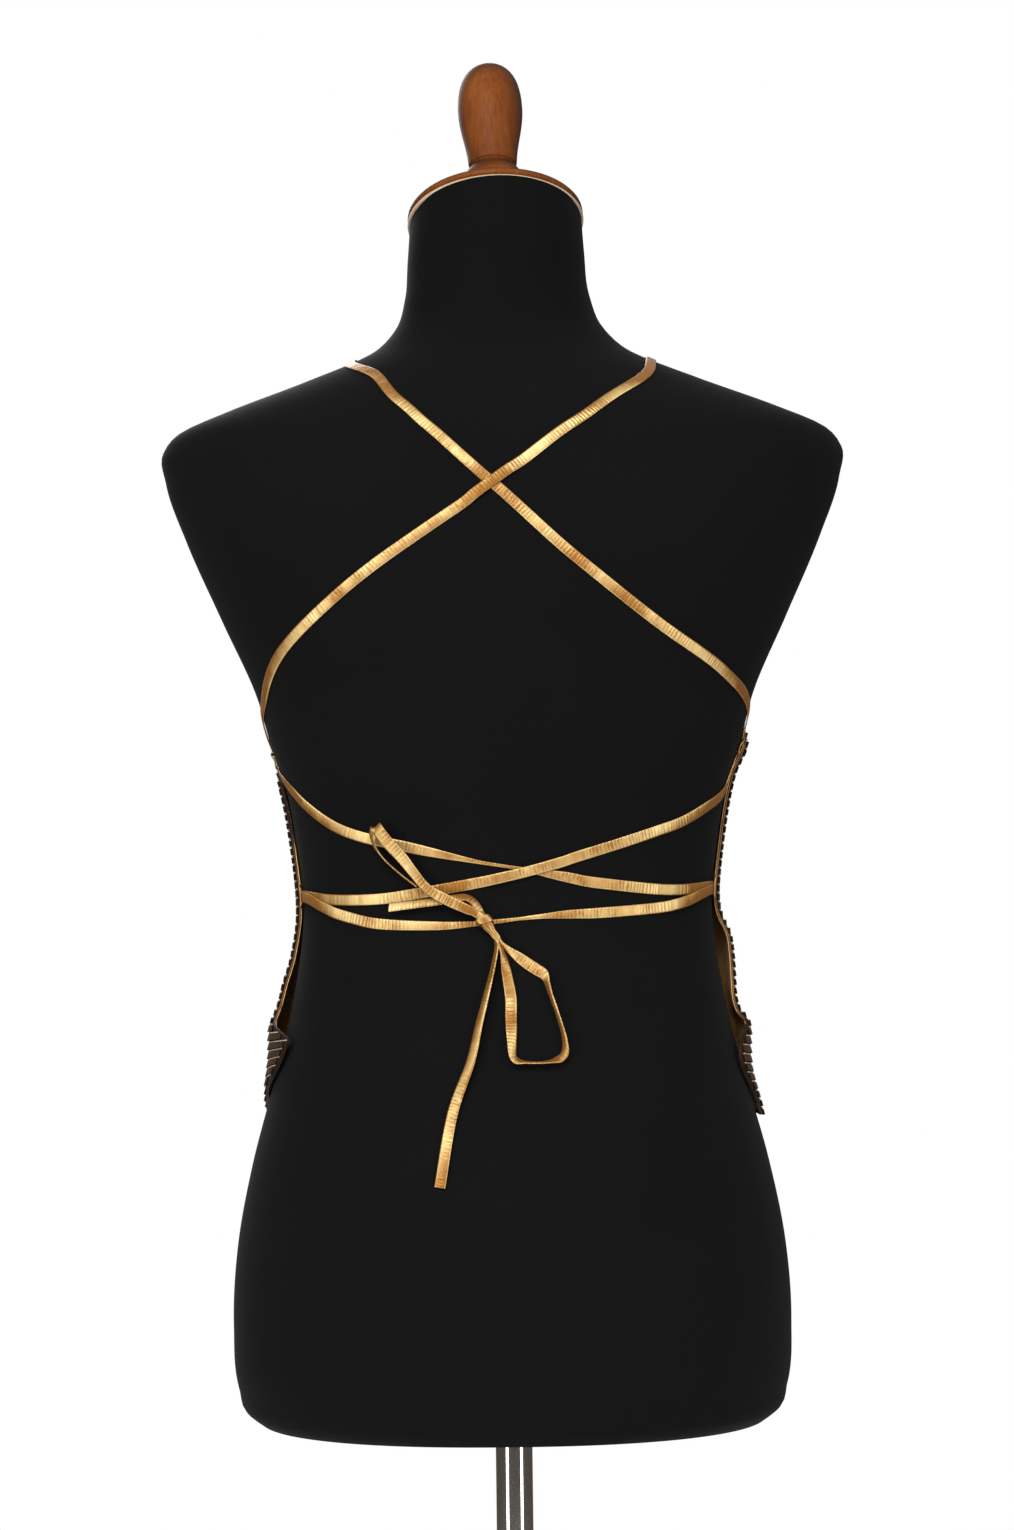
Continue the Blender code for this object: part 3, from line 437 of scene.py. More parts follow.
# %% The jersey form
ROUND = 150
RING_STEP = 0.0036
LEAST_STEP = 0.0010
jersey = woven_finish("black jersey", (14.0, 0.5), ((0.0030, 0.0030, 0.0032), (0.0044, 0.0043, 0.0044)),
                      (0.80, 0.92), (5200.0, 5200.0), (0.25, 0.0002),
                      specular_ior_level=0.05, sheen_weight=0.015, sheen_roughness=0.5)
heights = np.unique(np.concatenate([np.arange(0.0, NECK_TOP, RING_STEP), FORM_SECTIONS[:, 0]]).round(5))
heights = heights[np.concatenate([[True], np.diff(heights) > LEAST_STEP])]
heights[-1] = NECK_TOP
shell = form_point(np.arange(ROUND) * 360.0 / ROUND, heights[:, None]).reshape(-1, 3)
ends = [shell[:ROUND].mean(0), shell[-ROUND:].mean(0)]
cover = put_mesh("form_cover", np.concatenate([shell, ends]), tube_faces(len(heights), ROUND), jersey)
wear(cover, "jersey", "torso")

# %% [markdown]
# ## The turned pieces
#
# The knob, the cap, the cream edge, the pole and the round foot all come off a lathe, so each is a
# profile of radius and height carried round an axis. The neck ends in a slope, and its pieces lean
# with it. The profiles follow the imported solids, with finer curves and small grooves.

# %% Turned pieces
POLE_RADIUS = 0.011
BASE_RADIUS = 0.165


def spline(rows, parts=8):
    """A smooth curve through the rows: between two rows each column follows the cubic whose slope
    at a row is half the step from the row before to the row after."""
    ends = np.concatenate([[2 * rows[0] - rows[1]], rows, [2 * rows[-1] - rows[-2]]])
    before, start, end, after = (ends[first:len(ends) - 3 + first, None] for first in range(4))
    part = np.linspace(0.0, 1.0, parts, endpoint=False)[None, :, None]
    bend = 2 * before - 5 * start + 4 * end - after
    cubic = bend + part * (3 * (start - end) + after - before)
    curve = start + 0.5 * part * (end - before + part * cubic)
    return np.concatenate([curve.reshape(-1, rows.shape[1]), rows[-1:]])


def turned(name, profile, material, around, place=(0.0, 0.0, 0.0), lean=np.eye(3), depth=1.0):
    """Radius and height carried round an axis and then turned by lean; poles are closed, and depth
    stretches the round to an oval, front to back."""
    angle = circle(around)
    radius, height = np.split(np.asarray(profile, float), 2, axis=1)
    rings = np.stack([radius * np.cos(angle), depth * radius * np.sin(angle), height + 0 * angle], axis=-1)
    poles = [(0.0, 0.0, profile[0][1]), (0.0, 0.0, profile[-1][1])]
    points = np.concatenate([rings.reshape(-1, 3), poles]) @ lean.T + np.array(place)
    return put_mesh(name, points, tube_faces(len(profile), around), material)


NECK_TURN = np.array(Matrix.Rotation(-NECK_LEAN, 3, "Y") @ Matrix.Rotation(-NECK_TILT, 3, "X"))


def on_neck(above):
    """A point above the middle of the neck's sloping top, measured square to it."""
    return np.array([-NECK_DRIFT, FORM_SECTIONS[-1, 4], FORM_FOOT + NECK_TOP]) + above * NECK_TURN[:, 2]


print("middle of the neck's top:", on_neck(0.0).round(4))

# %% [markdown]
# ### Stained wood, cream cord and chrome
#
# The wood is red-brown beech under lacquer: long darker streaks run up it, and a clear coat gives
# the sharp highlight. Its colour darkens to near black where it turns away from the eye, which is
# painted shade. The edge under the cap is wrapped with pale thread, which fine ribs round the neck
# suggest. Chrome is nearly a mirror, and faint smears in its roughness keep it real.

# %% Wood, cord and chrome
wood, tree, shader = new_material(
    "stained beech", coat_weight=0.03, coat_roughness=0.4, specular_ior_level=0.08)
place = coordinates(tree)
grain_place = add_node(tree, "ShaderNodeMapping", {"Vector": place, "Scale": (1.0, 1.0, 0.10)}).outputs[0]
streaks = add_node(tree, "ShaderNodeTexNoise", {
    "Vector": grain_place, "Scale": 420.0, "Detail": 6.0, "Roughness": 0.65, "Distortion": 0.4}).outputs[0]
blush = use_group(tree, drift, Vector=place, Scale=26.0, Contrast=0.8)
light_wood = mix_colors(tree, blush, (0.21, 0.060, 0.009), (0.13, 0.032, 0.006))
grain = remap(tree, streaks, 0.42, 0.68, 0.0, 0.5)
grained = mix_colors(tree, grain, light_wood, (0.070, 0.017, 0.004))
# Painted shade: the stained colour darkens towards near black where the wood turns away from the eye.
away = add_node(tree, "ShaderNodeLayerWeight", {"Blend": 0.5}).outputs["Facing"]
rim = remap(tree, away, 0.30, 0.90, 0.0, 1.0)
worn = use_group(tree, smears, Vector=place, Low=0.42, High=0.62, Scale=60.0)
paint(tree, shader, mix_colors(tree, rim, grained, (0.020, 0.007, 0.004)), worn)
add_bump(tree, shader, streaks, 0.12, 0.0003)

cream = woven_finish("cream cord", (90.0, 0.6), ((0.54, 0.41, 0.27), (0.42, 0.30, 0.19)),
                     (0.5, 0.7), (4200.0, 4200.0), (0.5, 0.0004), sheen_weight=0.2, specular_ior_level=0.3)


def chrome_finish(name, low, high):
    """Chrome whose roughness goes from low to high in faint smears."""
    chrome, tree, shader = new_material(name, metallic=1.0)
    place = coordinates(tree)
    tone = use_group(tree, drift, Vector=place, Scale=9.0, Contrast=0.3)
    silver = mix_colors(tree, tone, (0.78, 0.78, 0.79), (0.70, 0.70, 0.71))
    worn = use_group(tree, smears, Vector=place, Low=low, High=high, Scale=22.0)
    paint(tree, shader, silver, worn)
    return chrome


EDGE_FOOT = 0.0006
EDGE_RADIUS = 0.0018
CAP_FOOT = 0.0027
KNOB_FOOT = 0.0228
across = FORM_SECTIONS[-1, 1]
arc = np.radians(np.linspace(-90, 90, 9))
edge_profile = np.stack([across - 0.0004 + EDGE_RADIUS * np.cos(arc),
                         0.0003 + EDGE_RADIUS * np.sin(arc)], axis=-1)
wear(turned("neck_edge", edge_profile, cream, 120, on_neck(EDGE_FOOT), NECK_TURN, NECK_DEPTH),
     "cream_edge", "neck_trim")
wear(turned("wooden_cap", [
    (across - 0.0008, 0.0), (across + 0.0004, 0.0003), (across + 0.0010, 0.0010),
    (across + 0.0012, 0.0020), (across + 0.0010, 0.0032), (across + 0.0002, 0.0042),
    (across - 0.0014, 0.0049), (across - 0.006, 0.0062), (0.040, 0.0085), (0.034, 0.0112),
    (0.028, 0.0146), (0.0240, 0.0176), (0.0222, 0.0190), (0.0205, 0.0198),
], wood, 120, on_neck(CAP_FOOT), NECK_TURN, NECK_DEPTH), "stained_wood", "neck_cap")
knob = spline(np.array([
    (0.0200, 0.0), (0.0200, 0.0015), (0.0197, 0.0045), (0.0188, 0.0085), (0.0166, 0.0122),
    (0.0142, 0.0152), (0.0134, 0.0163), (0.0134, 0.0170), (0.0145, 0.0180), (0.0149, 0.0200),
    (0.0155, 0.0260), (0.0168, 0.0335), (0.0182, 0.0405), (0.0194, 0.0485), (0.0198, 0.0560),
    (0.0192, 0.0650), (0.0172, 0.0735), (0.0131, 0.0805), (0.0068, 0.0850), (0.0012, 0.0863),
]), 5)
wear(turned("wooden_knob", knob, wood, 72, on_neck(KNOB_FOOT), NECK_TURN), "stained_wood", "finial")

tube_ends = [(POLE_RADIUS - 0.0006, 0.0343), (POLE_RADIUS, 0.0349)]
tube_ends += [(POLE_RADIUS, 0.0349 + 0.2442 * part / 12) for part in range(1, 12)]
tube_ends += [(POLE_RADIUS, 0.2791), (POLE_RADIUS - 0.0006, 0.2797)]
wear(turned("chrome_pole", tube_ends, chrome_finish("chromed tube", 0.05, 0.14), 64), "chrome", "pole")
dish = spline(np.array([
    (0.1400, 0.0121), (0.1100, 0.0135), (0.0750, 0.0152), (0.0500, 0.0165), (0.0330, 0.0177),
    (0.0250, 0.0190), (0.0200, 0.0216), (0.0187, 0.0250), (0.0185, 0.0310),
]), 4)
foot_plate = [(BASE_RADIUS - 0.0012, 0.0), (BASE_RADIUS - 0.0003, 0.0004), (BASE_RADIUS, 0.0013),
              (BASE_RADIUS, 0.0066), (BASE_RADIUS - 0.0006, 0.0082), (BASE_RADIUS - 0.0026, 0.0095)]
foot_plate += [tuple(row) for row in dish] + [(0.0183, 0.0326), (0.0177, 0.0336), (0.0165, 0.0340)]
wear(turned("chrome_foot", foot_plate, chrome_finish("chromed foot", 0.08, 0.20), 160), "chrome", "base")

# %% [markdown]
# ## The front and its lining
#
# The front is one panel from hip to chest. Its side edges sit just behind the side of the body and
# flare out at the hips, its armholes are scooped, and the neckline dips. A cloth simulation would
# lose those measured edges, so the sheet is a function of a table of edges, like the form beneath
# it. Soft drag folds are added one by one, each a ridge along a short line, no two the same.

# %% The cloth's shape
LINING_LIFT = 0.0011
CLOTH_WALL = 0.0004
PANEL_LIFT = 0.0026
PANEL_DRAWN_IN = (0.0001, 0.0015)
LINING_DRAWN_IN = (0.0042, 0.0)
SCOOP_DEPTH = 0.027
SCOOP_START = 0.460
CORNER_START = 0.88
FLARE_START, FLARE_FULL = 62, 90
CORNER_EASE = 0.45
CORNER_TURNS = (92, 112)
FIXED_TURN, FIXED_PART = 78, 0.78
SHEET_ROWS, SHEET_COLUMNS = 110, 85
BESIDE_MIDDLE = 12  # the cut length is measured that many columns left of the middle

# Heights at which the edge changes: the lining comes into sight, it is hidden on the left, and,
# less than 0 because it is read downwards, the armhole begins
LINING_SHOWS = (0.229, 0.241)
HIDDEN_LEFT = (0.335, 0.350)
ARMHOLE = (-0.440, -0.425)


def filled(rows, *rest):
    """A table of these rows, where a row that ends early takes its last numbers from rest."""
    width = max(len(row) for row in rows)
    return np.array([(*row, *rest[len(rest) - width + len(row):]) for row in rows])


# height, left edge, right edge (degrees from the middle of the front), stand-off left and right
PANEL_SECTIONS = filled([
    (0.1775, 71, 89, 0.0000, 0.0008),
    (0.1850, 77.5, 94, 0.0000, 0.0010),
    (0.1910, 85, 98, 0.0000, 0.0010),
    (0.1970, 94, 101.5, 0.0006, 0.0010),
    (0.2050, 103, 105.5, 0.0014, 0.0012),
    (0.2150, 109, 107.5, 0.0030, 0.0032),
    (0.2235, 112, 104.5, 0.0050, 0.0056),
    (0.2290, 114, 99, 0.0064, 0.0072),
    (0.2330, 103, 93, 0.0069, 0.0072),
    (0.2390, 92, 92, 0.0060, 0.0042),
    (0.2480, 92, 92, 0.0046, 0.0032),
    (0.2580, 92, 92, 0.0040, 0.0045),
    (0.2720, 92, 92, 0.0020, 0.0062),
    (0.2860, 93, 92, 0.0008, 0.0062),
    (0.3000, 96, 95, 0.0000, 0.0015),
    (0.3150, 98, 98),
    (0.3300, 94, 94),
    (0.3480, 92, 92),
    (0.3690, 92, 92),
    (0.3795, 92, 92),
    (0.3865, 85.6, 92),
    (0.3930, 80, 92, 0.0000, 0.0008),
    (0.4000, 74.5, 92, 0.0000, 0.0014),
    (0.4050, 71.2, 89, 0.0000, 0.0008),
    (0.4110, 67.8, 81.5),
    (0.4200, 63.2, 71),
    (0.4310, 58, 60.5),
    (0.4400, 54, 54),
    (0.4520, 47, 47),
    (0.4670, 40, 40),
    (0.4860, 34, 34),
    (0.5080, 29, 29),
    (0.5340, 25, 25),
    (0.5620, 22, 22),
], 0, 0)
HEM, NECKLINE = PANEL_SECTIONS[0, 0], PANEL_SECTIONS[-1, 0]

# side, degrees from the front at the waist and at the hem, how far it stands out, width in degrees
HIP_FOLDS = (
    (-1, 84, 74, 0.0026, 5.0),
    (-1, 70, 55, 0.0022, 6.5),
    (-1, 52, 30, 0.0016, 8.0),
    (1, 82, 70, 0.0030, 5.5),
    (1, 66, 49, 0.0020, 6.0),
    (1, 47, 22, 0.0017, 8.5),
)
FOLD_TOP = 0.312
FOLD_FULL = 0.235

# Folds: degrees from the front and height at both ends, rise and half width in mm
FOLDS = np.array([
    (-88, 0.309, -46, 0.330, 1.3, 5.0),
    (-86, 0.321, -58, 0.352, 0.9, 4.2),
    (-84, 0.300, -37, 0.296, 1.1, 5.5),
    (-62, 0.283, -14, 0.262, 0.8, 7.0),
    (87, 0.312, 51, 0.337, 1.2, 4.6),
    (85, 0.326, 66, 0.362, 0.8, 4.4),
    (86, 0.301, 31, 0.288, 1.2, 5.8),
    (55, 0.271, 9, 0.246, 0.7, 7.5),
    (-66, 0.415, -38, 0.396, 1.2, 5.5),
    (-47, 0.446, -36, 0.405, 0.9, 4.8),
    (63, 0.419, 33, 0.391, 1.3, 5.0),
    (44, 0.452, 37, 0.411, 0.8, 5.2),
    (-21, 0.545, -27, 0.470, 1.0, 5.4),
    (19, 0.548, 29, 0.462, 0.8, 6.0),
    (-17, 0.372, 3, 0.331, 0.8, 8.0),
    (24, 0.381, 12, 0.325, 0.9, 7.0),
])
MM_PER_DEGREE = 2.3


def fold_rise(turn, height):
    """The sum of the folds: each is a bell curve across its line that fades towards both ends."""
    spot = np.stack([turn * MM_PER_DEGREE, height / MM], axis=-1)[..., None, :]
    start = np.stack([FOLDS[:, 0] * MM_PER_DEGREE, FOLDS[:, 1] / MM], axis=-1)
    line = np.stack([FOLDS[:, 2] * MM_PER_DEGREE, FOLDS[:, 3] / MM], axis=-1) - start
    part = np.clip(((spot - start) * line).sum(-1) / (line**2).sum(-1), 0.0, 1.0)
    away = np.linalg.norm(spot - start - part[..., None] * line, axis=-1)
    fade = 0.25 + 0.75 * np.sin(np.pi * part)
    return (FOLDS[:, 4] * MM * fade * np.exp(-((away / FOLDS[:, 5]) ** 2))).sum(-1)


def on_side(turn, height, left, right):
    """The panel's left or right column at this height, by the side that turn is on."""
    return np.where(turn < 0, *(table_column(PANEL_SECTIONS, index, height) for index in (left, right)))


def cloth_lift(turn, height):
    """How far the cloth stands off the form; turn is degrees from the front, less than 0 on the left."""
    lift = np.maximum(on_side(turn, height, 3, 4), 0.0) * smoothstep(np.abs(turn), FLARE_START, FLARE_FULL)
    lift = lift * (1.0 - CORNER_EASE * smoothstep(np.abs(turn), *CORNER_TURNS))
    ramp = smoothstep(FOLD_TOP - height, 0.0, FOLD_TOP - FOLD_FULL)
    down = np.clip((FOLD_TOP - height) / (FOLD_TOP - HEM), 0.0, 1.0)
    for side, at_waist, at_hem, rise, width in HIP_FOLDS:
        middle = side * (at_waist + (at_hem - at_waist) * down)
        lift = lift + rise * ramp * np.exp(-(((turn - middle) / width) ** 2)) * (turn * side > 0)
    return lift + fold_rise(turn, height)


def cloth_point(turn, height, off):
    """Points of the cloth, off beyond its lift, and its outward directions there."""
    normal = form_normal(180.0 - turn, height, BRIDGE)
    lift = (cloth_lift(turn, height) + off)[..., None]
    return form_point(180.0 - turn, height, BRIDGE) + normal * lift, normal


def edge_turn(turn, height):
    """The cloth's edge at this height, in degrees from the front, and the turn up to which its
    columns keep their place."""
    edge = on_side(turn, height, 1, 2)
    return edge, np.minimum(FIXED_TURN, FIXED_PART * edge)


def scoop(share, row):
    """How far the neckline dips there: share is 0 at the front's middle and 1 at the edge."""
    across = np.minimum(np.abs(share) / CORNER_START, 1.0)
    return SCOOP_DEPTH * (1.0 - across**2.4) * smoothstep(row, SCOOP_START, NECKLINE)


def cloth_spots(share, row):
    """Turn and height on the sheet: share runs from -1 at the left edge to 1 at the right one.

    The inner two thirds of each half reach to the fixed turn, and the outer third to the edge.
    """
    edge, fixed = edge_turn(share, row)
    inner = np.minimum(np.abs(share) * 1.5, 1.0)
    outer = np.maximum(np.abs(share) * 3.0 - 2.0, 0.0)
    turn = np.sign(share) * (fixed * inner + (edge - fixed) * outer)
    return turn, row - scoop(share, row)


def up_left(share, row, low, full):
    """1 along the left edge from full up to the armhole, 0 below low and on the right."""
    return smoothstep(row, low, full) * smoothstep(-row, *ARMHOLE) * (share < 0)


def lining_shown(share, row):
    """1 where the lining shows along the edge, 0 at the hip corners and high on the left."""
    return smoothstep(row, *LINING_SHOWS) * (1.0 - up_left(share, row, *HIDDEN_LEFT))


def cloth_grid(off, drawn_in, tucked=0.0):
    """The sheet's grid of points.

    Its rim is drawn in by the first distance where the lining is hidden and by the second where it
    shows. Tucked is how far the rim is turned under where it hides the lining.
    """
    share = np.linspace(-1.0, 1.0, SHEET_COLUMNS)
    rows = np.concatenate([np.linspace(HEM, NECKLINE, SHEET_ROWS), PANEL_SECTIONS[:, 0]])
    rows = np.unique(rows.round(5))
    turn, height = cloth_spots(share[None, :], rows[:, None] + 0 * share)
    off = off + 0 * turn
    shown = lining_shown(share[None, :], rows[:, None])
    under = (1.0 - shown) * (np.abs(share) == 1.0)
    under[0] = 1.0
    points = cloth_point(turn, height, off - tucked * under)[0]
    sides = drawn_in[0] + (drawn_in[1] - drawn_in[0]) * shown
    for edge, inner in ((0, 1), (-1, -2)):
        for grid, shift in ((points, drawn_in[edge]), (points.swapaxes(0, 1), sides[:, edge, None])):
            inward = grid[inner] - grid[edge]
            length = np.linalg.norm(inward, axis=-1, keepdims=True)
            grid[edge] += inward * np.minimum(shift / length, 0.9)
    return points


def cloth_wall(name, off, drawn_in, material, tucked=0.0):
    """A thin closed wall of cloth: the sheet, the same sheet a little further out, and their rim."""
    inner = cloth_grid(off, drawn_in, tucked)
    outer = cloth_grid(off + CLOTH_WALL, drawn_in)
    rows, columns = inner.shape[:2]
    quads = grid_faces(rows, columns)
    index = np.arange(rows * columns).reshape(rows, columns)
    rim = np.concatenate([index[0], index[1:, -1], index[-1, -2::-1], index[-2:0:-1, 0]])
    onward = np.roll(rim, -1)
    count = rows * columns
    sides = np.stack([onward, rim, rim + count, onward + count], axis=-1)
    faces = np.concatenate([quads, quads[:, ::-1] + count, sides]).tolist()
    across = np.linalg.norm(np.diff(outer, axis=1), axis=-1)
    along = np.linalg.norm(np.diff(outer, axis=0), axis=-1)
    u = np.concatenate([np.zeros((rows, 1)), np.cumsum(across, axis=1)], axis=1)
    v = np.concatenate([np.zeros((1, columns)), np.cumsum(along, axis=0)])
    uv = np.stack([u - u[:, columns // 2, None], v], axis=-1).reshape(-1, 2)
    area = float((across[:-1] * along[:, :-1]).sum())
    size = (float(across.sum(axis=1).max()),
            float(along[:, columns // 2 - BESIDE_MIDDLE].sum() + SCOOP_DEPTH))
    print(name, "cut:", [round(x, 3) for x in size], "area:", round(area, 4))
    piece = put_mesh(name, np.concatenate([inner.reshape(-1, 3), outer.reshape(-1, 3)]), faces, material,
                     np.concatenate([uv, uv]))
    return piece, size, area


# %% [markdown]
# ### Satin
#
# Satin is woven with long floats, so it shines in soft patches that follow its folds, and its
# shadows are deeper and redder than its lights. A part-metallic shader that goes from pale gold to
# amber gives that, and its colour is painted highlight and painted shade: palest where the cloth
# turns a little from the eye, amber where it faces the eye or turns far away and along its
# ripples. The relief of the threads keeps close views from looking like plastic. The lining is a
# browner satin, and beneath the beads lies a plain dark cloth.

# %% Satin
PAINTED_HIGHLIGHT_TURN = 0.20


def satin_finish(name, pale, deep, metallic, rough, crinkle, depth=(0.45, 1.9)):
    """Satin whose threads and small crosswise ripples follow the piece's own UV map, in metres.

    It is palest where it turns a little from the eye, a painted highlight. Where it faces the eye or
    turns far away and in the hollows of its ripples it is the deep colour, a painted shade, and so it
    is in slow patches. Depth is how much of that painted shade there is at its palest and well past
    it.
    """
    satin, tree, shader = new_material(
        name, metallic=metallic, sheen_weight=0.05, sheen_roughness=0.35, specular_ior_level=0.32)
    cloth = coordinates(tree, "UV")
    run = add_node(tree, "ShaderNodeSeparateXYZ", {0: cloth}).outputs[0]
    pinched = add_node(tree, "ShaderNodeMapping", {"Vector": cloth, "Scale": (1.0, 0.25, 1.0)}).outputs[0]
    waves = add_node(tree, "ShaderNodeTexNoise", {
        "Vector": pinched, "Scale": 150.0, "Detail": 1.0, "Distortion": 0.4}).outputs[0]
    swell = use_group(tree, drift, Vector=cloth, Scale=34.0, Contrast=1.1)
    patches = use_group(tree, drift, Vector=pinched, Scale=26.0, Contrast=1.1)
    fine = use_group(tree, drift, Vector=cloth, Scale=700.0, Contrast=0.5)
    dotted = use_group(tree, drift, Vector=cloth, Scale=260.0, Contrast=1.2)
    dots = calculate(tree, "MULTIPLY", dotted, 0.45)
    phase = calculate(tree, "MULTIPLY_ADD", run, 2900.0, calculate(tree, "MULTIPLY", waves, 9.0))
    ripple = calculate(tree, "MULTIPLY_ADD", calculate(tree, "SINE", phase), 0.5, 0.5)
    rippled = calculate(tree, "MULTIPLY", ripple, swell)
    # Painted highlight and painted shade: the colour is palest at a small turn from the eye and deepens
    # where the cloth faces the eye or turns far away.
    away = add_node(tree, "ShaderNodeLayerWeight", {"Blend": 0.5}).outputs["Facing"]
    past = calculate(tree, "ABSOLUTE", calculate(tree, "SUBTRACT", away, PAINTED_HIGHLIGHT_TURN))
    shade = calculate(tree, "MULTIPLY_ADD", patches, -0.55, remap(tree, past, 0.0, 0.45, *depth))
    # Painted shade and light on the relief: the colour deepens with the ripples and pales with the
    # crosswise waves that also make the bump; fine adds a random tone.
    for mask, share in ((fine, 0.14), (rippled, dots), (waves, -0.15)):
        shade = calculate(tree, "MULTIPLY_ADD", mask, share, shade)
    shade = add_node(tree, "ShaderNodeClamp", {"Value": shade})
    color = mix_colors(tree, shade.outputs[0], pale, deep)
    paint(tree, shader, color, remap(tree, fine, 0.0, 1.0, rough, rough + 0.14))
    relief = calculate(tree, "MULTIPLY_ADD", rippled, 0.30, calculate(tree, "MULTIPLY", waves, 0.5))
    relief = calculate(tree, "MULTIPLY_ADD", use_group(tree, threads, Vector=cloth), 0.03, relief)
    add_bump(tree, shader, relief, crinkle, 0.0014)
    return satin


gold = satin_finish("gold satin", (0.85, 0.63, 0.27), (0.29, 0.118, 0.016), 0.42, 0.33, 0.75)
bronze = satin_finish("bronze satin", (0.95, 0.52, 0.18), (0.46, 0.17, 0.040), 0.0, 0.5, 0.9, (0.15, 0.75))

lining, lining_cut, lining_area = cloth_wall("satin_lining", LINING_LIFT, LINING_DRAWN_IN, bronze)
wear(lining, "lining", "front_lining")

ground = woven_finish("dark ground cloth", (60.0, 0.7), ((0.026, 0.013, 0.006), (0.012, 0.006, 0.003)),
                      (0.55, 0.75), (900.0, 2600.0), (0.4, 0.0003), "UV", specular_ior_level=0.15)
front, front_cut, front_area = cloth_wall(
    "front_cloth", PANEL_LIFT, PANEL_DRAWN_IN, ground, PANEL_LIFT - LINING_LIFT)
wear(front, "beads", "front_panel")

# %% [markdown]
# ## The beads
#
# The front is covered in dark bronze bugle beads that stand upright in rows, with a line of pale
# seed beads between one row and the next. They could be instances, but a sewn bead is only a few
# faces, so each kind is one mesh: a small shape placed at every stitch by array arithmetic. The
# rows run level and rise a little where the panel turns the side of the body.

# %% The beads
ROW_PITCH = 0.0052
FIRST_ROW = 0.1810

# A row climbs beyond these turns, by so many millimetres for a degree, and on the left more in the
# band above the hem
CLIMB_LEFT, CLIMB_RIGHT = 89.0, 88.0
CLIMB_RATE, HEM_RATE = 0.20, 0.30
HEM_BAND = 0.045

# In millimetres: size, pitch along the row, least distance to an edge, half its length up the
# cloth, how far its middle stands off the cloth; and in degrees how much it leans
BUGLE = {"length": 3.5, "radius": 0.88, "pitch": 2.02, "margin": 1.2, "reach": 1.7, "rise": 0.75,
         "lean": 3.0}
SEED = {"radius": 0.52, "pitch": 1.30, "margin": 0.9, "reach": 0.5, "rise": 0.60, "lean": 8.0}
SCAN_TURNS = np.arange(-118.0, 118.01, 0.25)
draw = np.random.default_rng(7)


def row_climb(turn, height):
    """How much a row has risen at that turn: it climbs beyond the side of the body, and most on
    the left near the hem."""
    low = np.clip(1.0 - (height - HEM) / HEM_BAND, 0.0, 1.0)
    left = (CLIMB_RATE + HEM_RATE * low) * np.maximum(-turn - CLIMB_LEFT, 0.0)
    return (left + CLIMB_RATE * np.maximum(turn - CLIMB_RIGHT, 0.0)) * MM


def sheet_share(turn, row):
    """The place between the middle of the front and the edge, the inverse of cloth_spots."""
    edge, fixed = edge_turn(turn, row)
    turn = np.abs(turn)
    return np.where(turn < fixed, turn / fixed / 1.5, (2.0 + (turn - fixed) / (edge - fixed)) / 3.0)


def stitches(level, kind):
    """Even places along one row for that kind of bead: centres, along, up and outward directions."""
    margin, reach = kind["margin"], kind["reach"]
    off = PANEL_LIFT + CLOTH_WALL + kind["rise"] * MM
    turn = SCAN_TURNS
    height = level + row_climb(turn, level)
    row = height
    for _ in range(4):
        row = height + scoop(np.minimum(sheet_share(turn, np.minimum(row, NECKLINE)), 1.0), row)
    edge = np.minimum(edge_turn(turn, row - reach * MM)[0], edge_turn(turn, row + reach * MM)[0])
    inside = (np.abs(turn) < edge - margin / MM_PER_DEGREE) & (row < NECKLINE - (reach + 0.4) * MM)
    inside &= height > HEM + 0.6 * margin * MM
    found = []
    for run in np.split(np.arange(len(turn)), np.flatnonzero(np.diff(inside.astype(int))) + 1):
        if not inside[run[0]] or len(run) < 4:
            continue
        length = path_length(cloth_point(turn[run], height[run], off)[0])
        even = np.arange(kind["pitch"] * MM / 2, length[-1], kind["pitch"] * MM)
        found.append((np.interp(even, length, turn[run]), np.interp(even, length, height[run])))
    if not found:
        return np.zeros((0, 4, 3))
    turn, height = (np.concatenate(part) for part in zip(*found))
    centre, normal = cloth_point(turn, height, off)
    along = unit(cloth_point(turn + 0.3, height, off)[0] - centre)
    up = unit(np.cross(along, normal))
    up = up * np.sign(up[:, 2:])
    out = unit(np.cross(up, along))
    out = out * np.sign((out * normal).sum(-1, keepdims=True))
    return np.stack([centre, along, up, out], axis=1)


def sew(name, template, triangles, frames, material, scales):
    """The template at every frame: centre + along·x + up·y + outward·z, with a tone for each bead."""
    centre, along, up, out = (frames[:, index, None] for index in range(4))
    shape = template[None] * scales[:, None]
    points = centre + along * shape[..., :1] + up * shape[..., 1:2] + out * shape[..., 2:]
    first = np.arange(len(frames))[:, None, None] * len(template)
    faces = (triangles + first).reshape(-1, triangles.shape[1])
    tone = np.repeat(draw.random(len(frames)), len(template))
    return put_mesh(name, points, faces.tolist(), material, tone=tone, sharp=50)


def bead_frames(levels, kind):
    """The stitches on all these rows, each turned a little in the plane of the cloth, because none
    is exact."""
    frames = np.concatenate([stitches(level, kind) for level in levels])
    angle = np.radians(draw.normal(0.0, kind["lean"], len(frames)))[:, None]
    along, up = frames[:, 1].copy(), frames[:, 2].copy()
    frames[:, 1] = along * np.cos(angle) + up * np.sin(angle)
    frames[:, 2] = up * np.cos(angle) - along * np.sin(angle)
    return frames


levels = np.arange(FIRST_ROW, NECKLINE, ROW_PITCH)
bugle_levels = np.concatenate([[levels[0] - ROW_PITCH / 2], levels + ROW_PITCH / 2])
bugle_frames = bead_frames(bugle_levels, BUGLE)
seed_frames = bead_frames(levels, SEED)
print("bugles:", len(bugle_frames), "seed beads:", len(seed_frames))

# %% [markdown]
# ### Bead shapes and glass
#
# A bugle is a cut tube: here six sides and two flat ends. A seed bead is a small ball squashed
# along its thread, made from an icosahedron. The glass is dark bronze with a metallic lining, and
# every bead has its own tone, because no two catch the light alike.

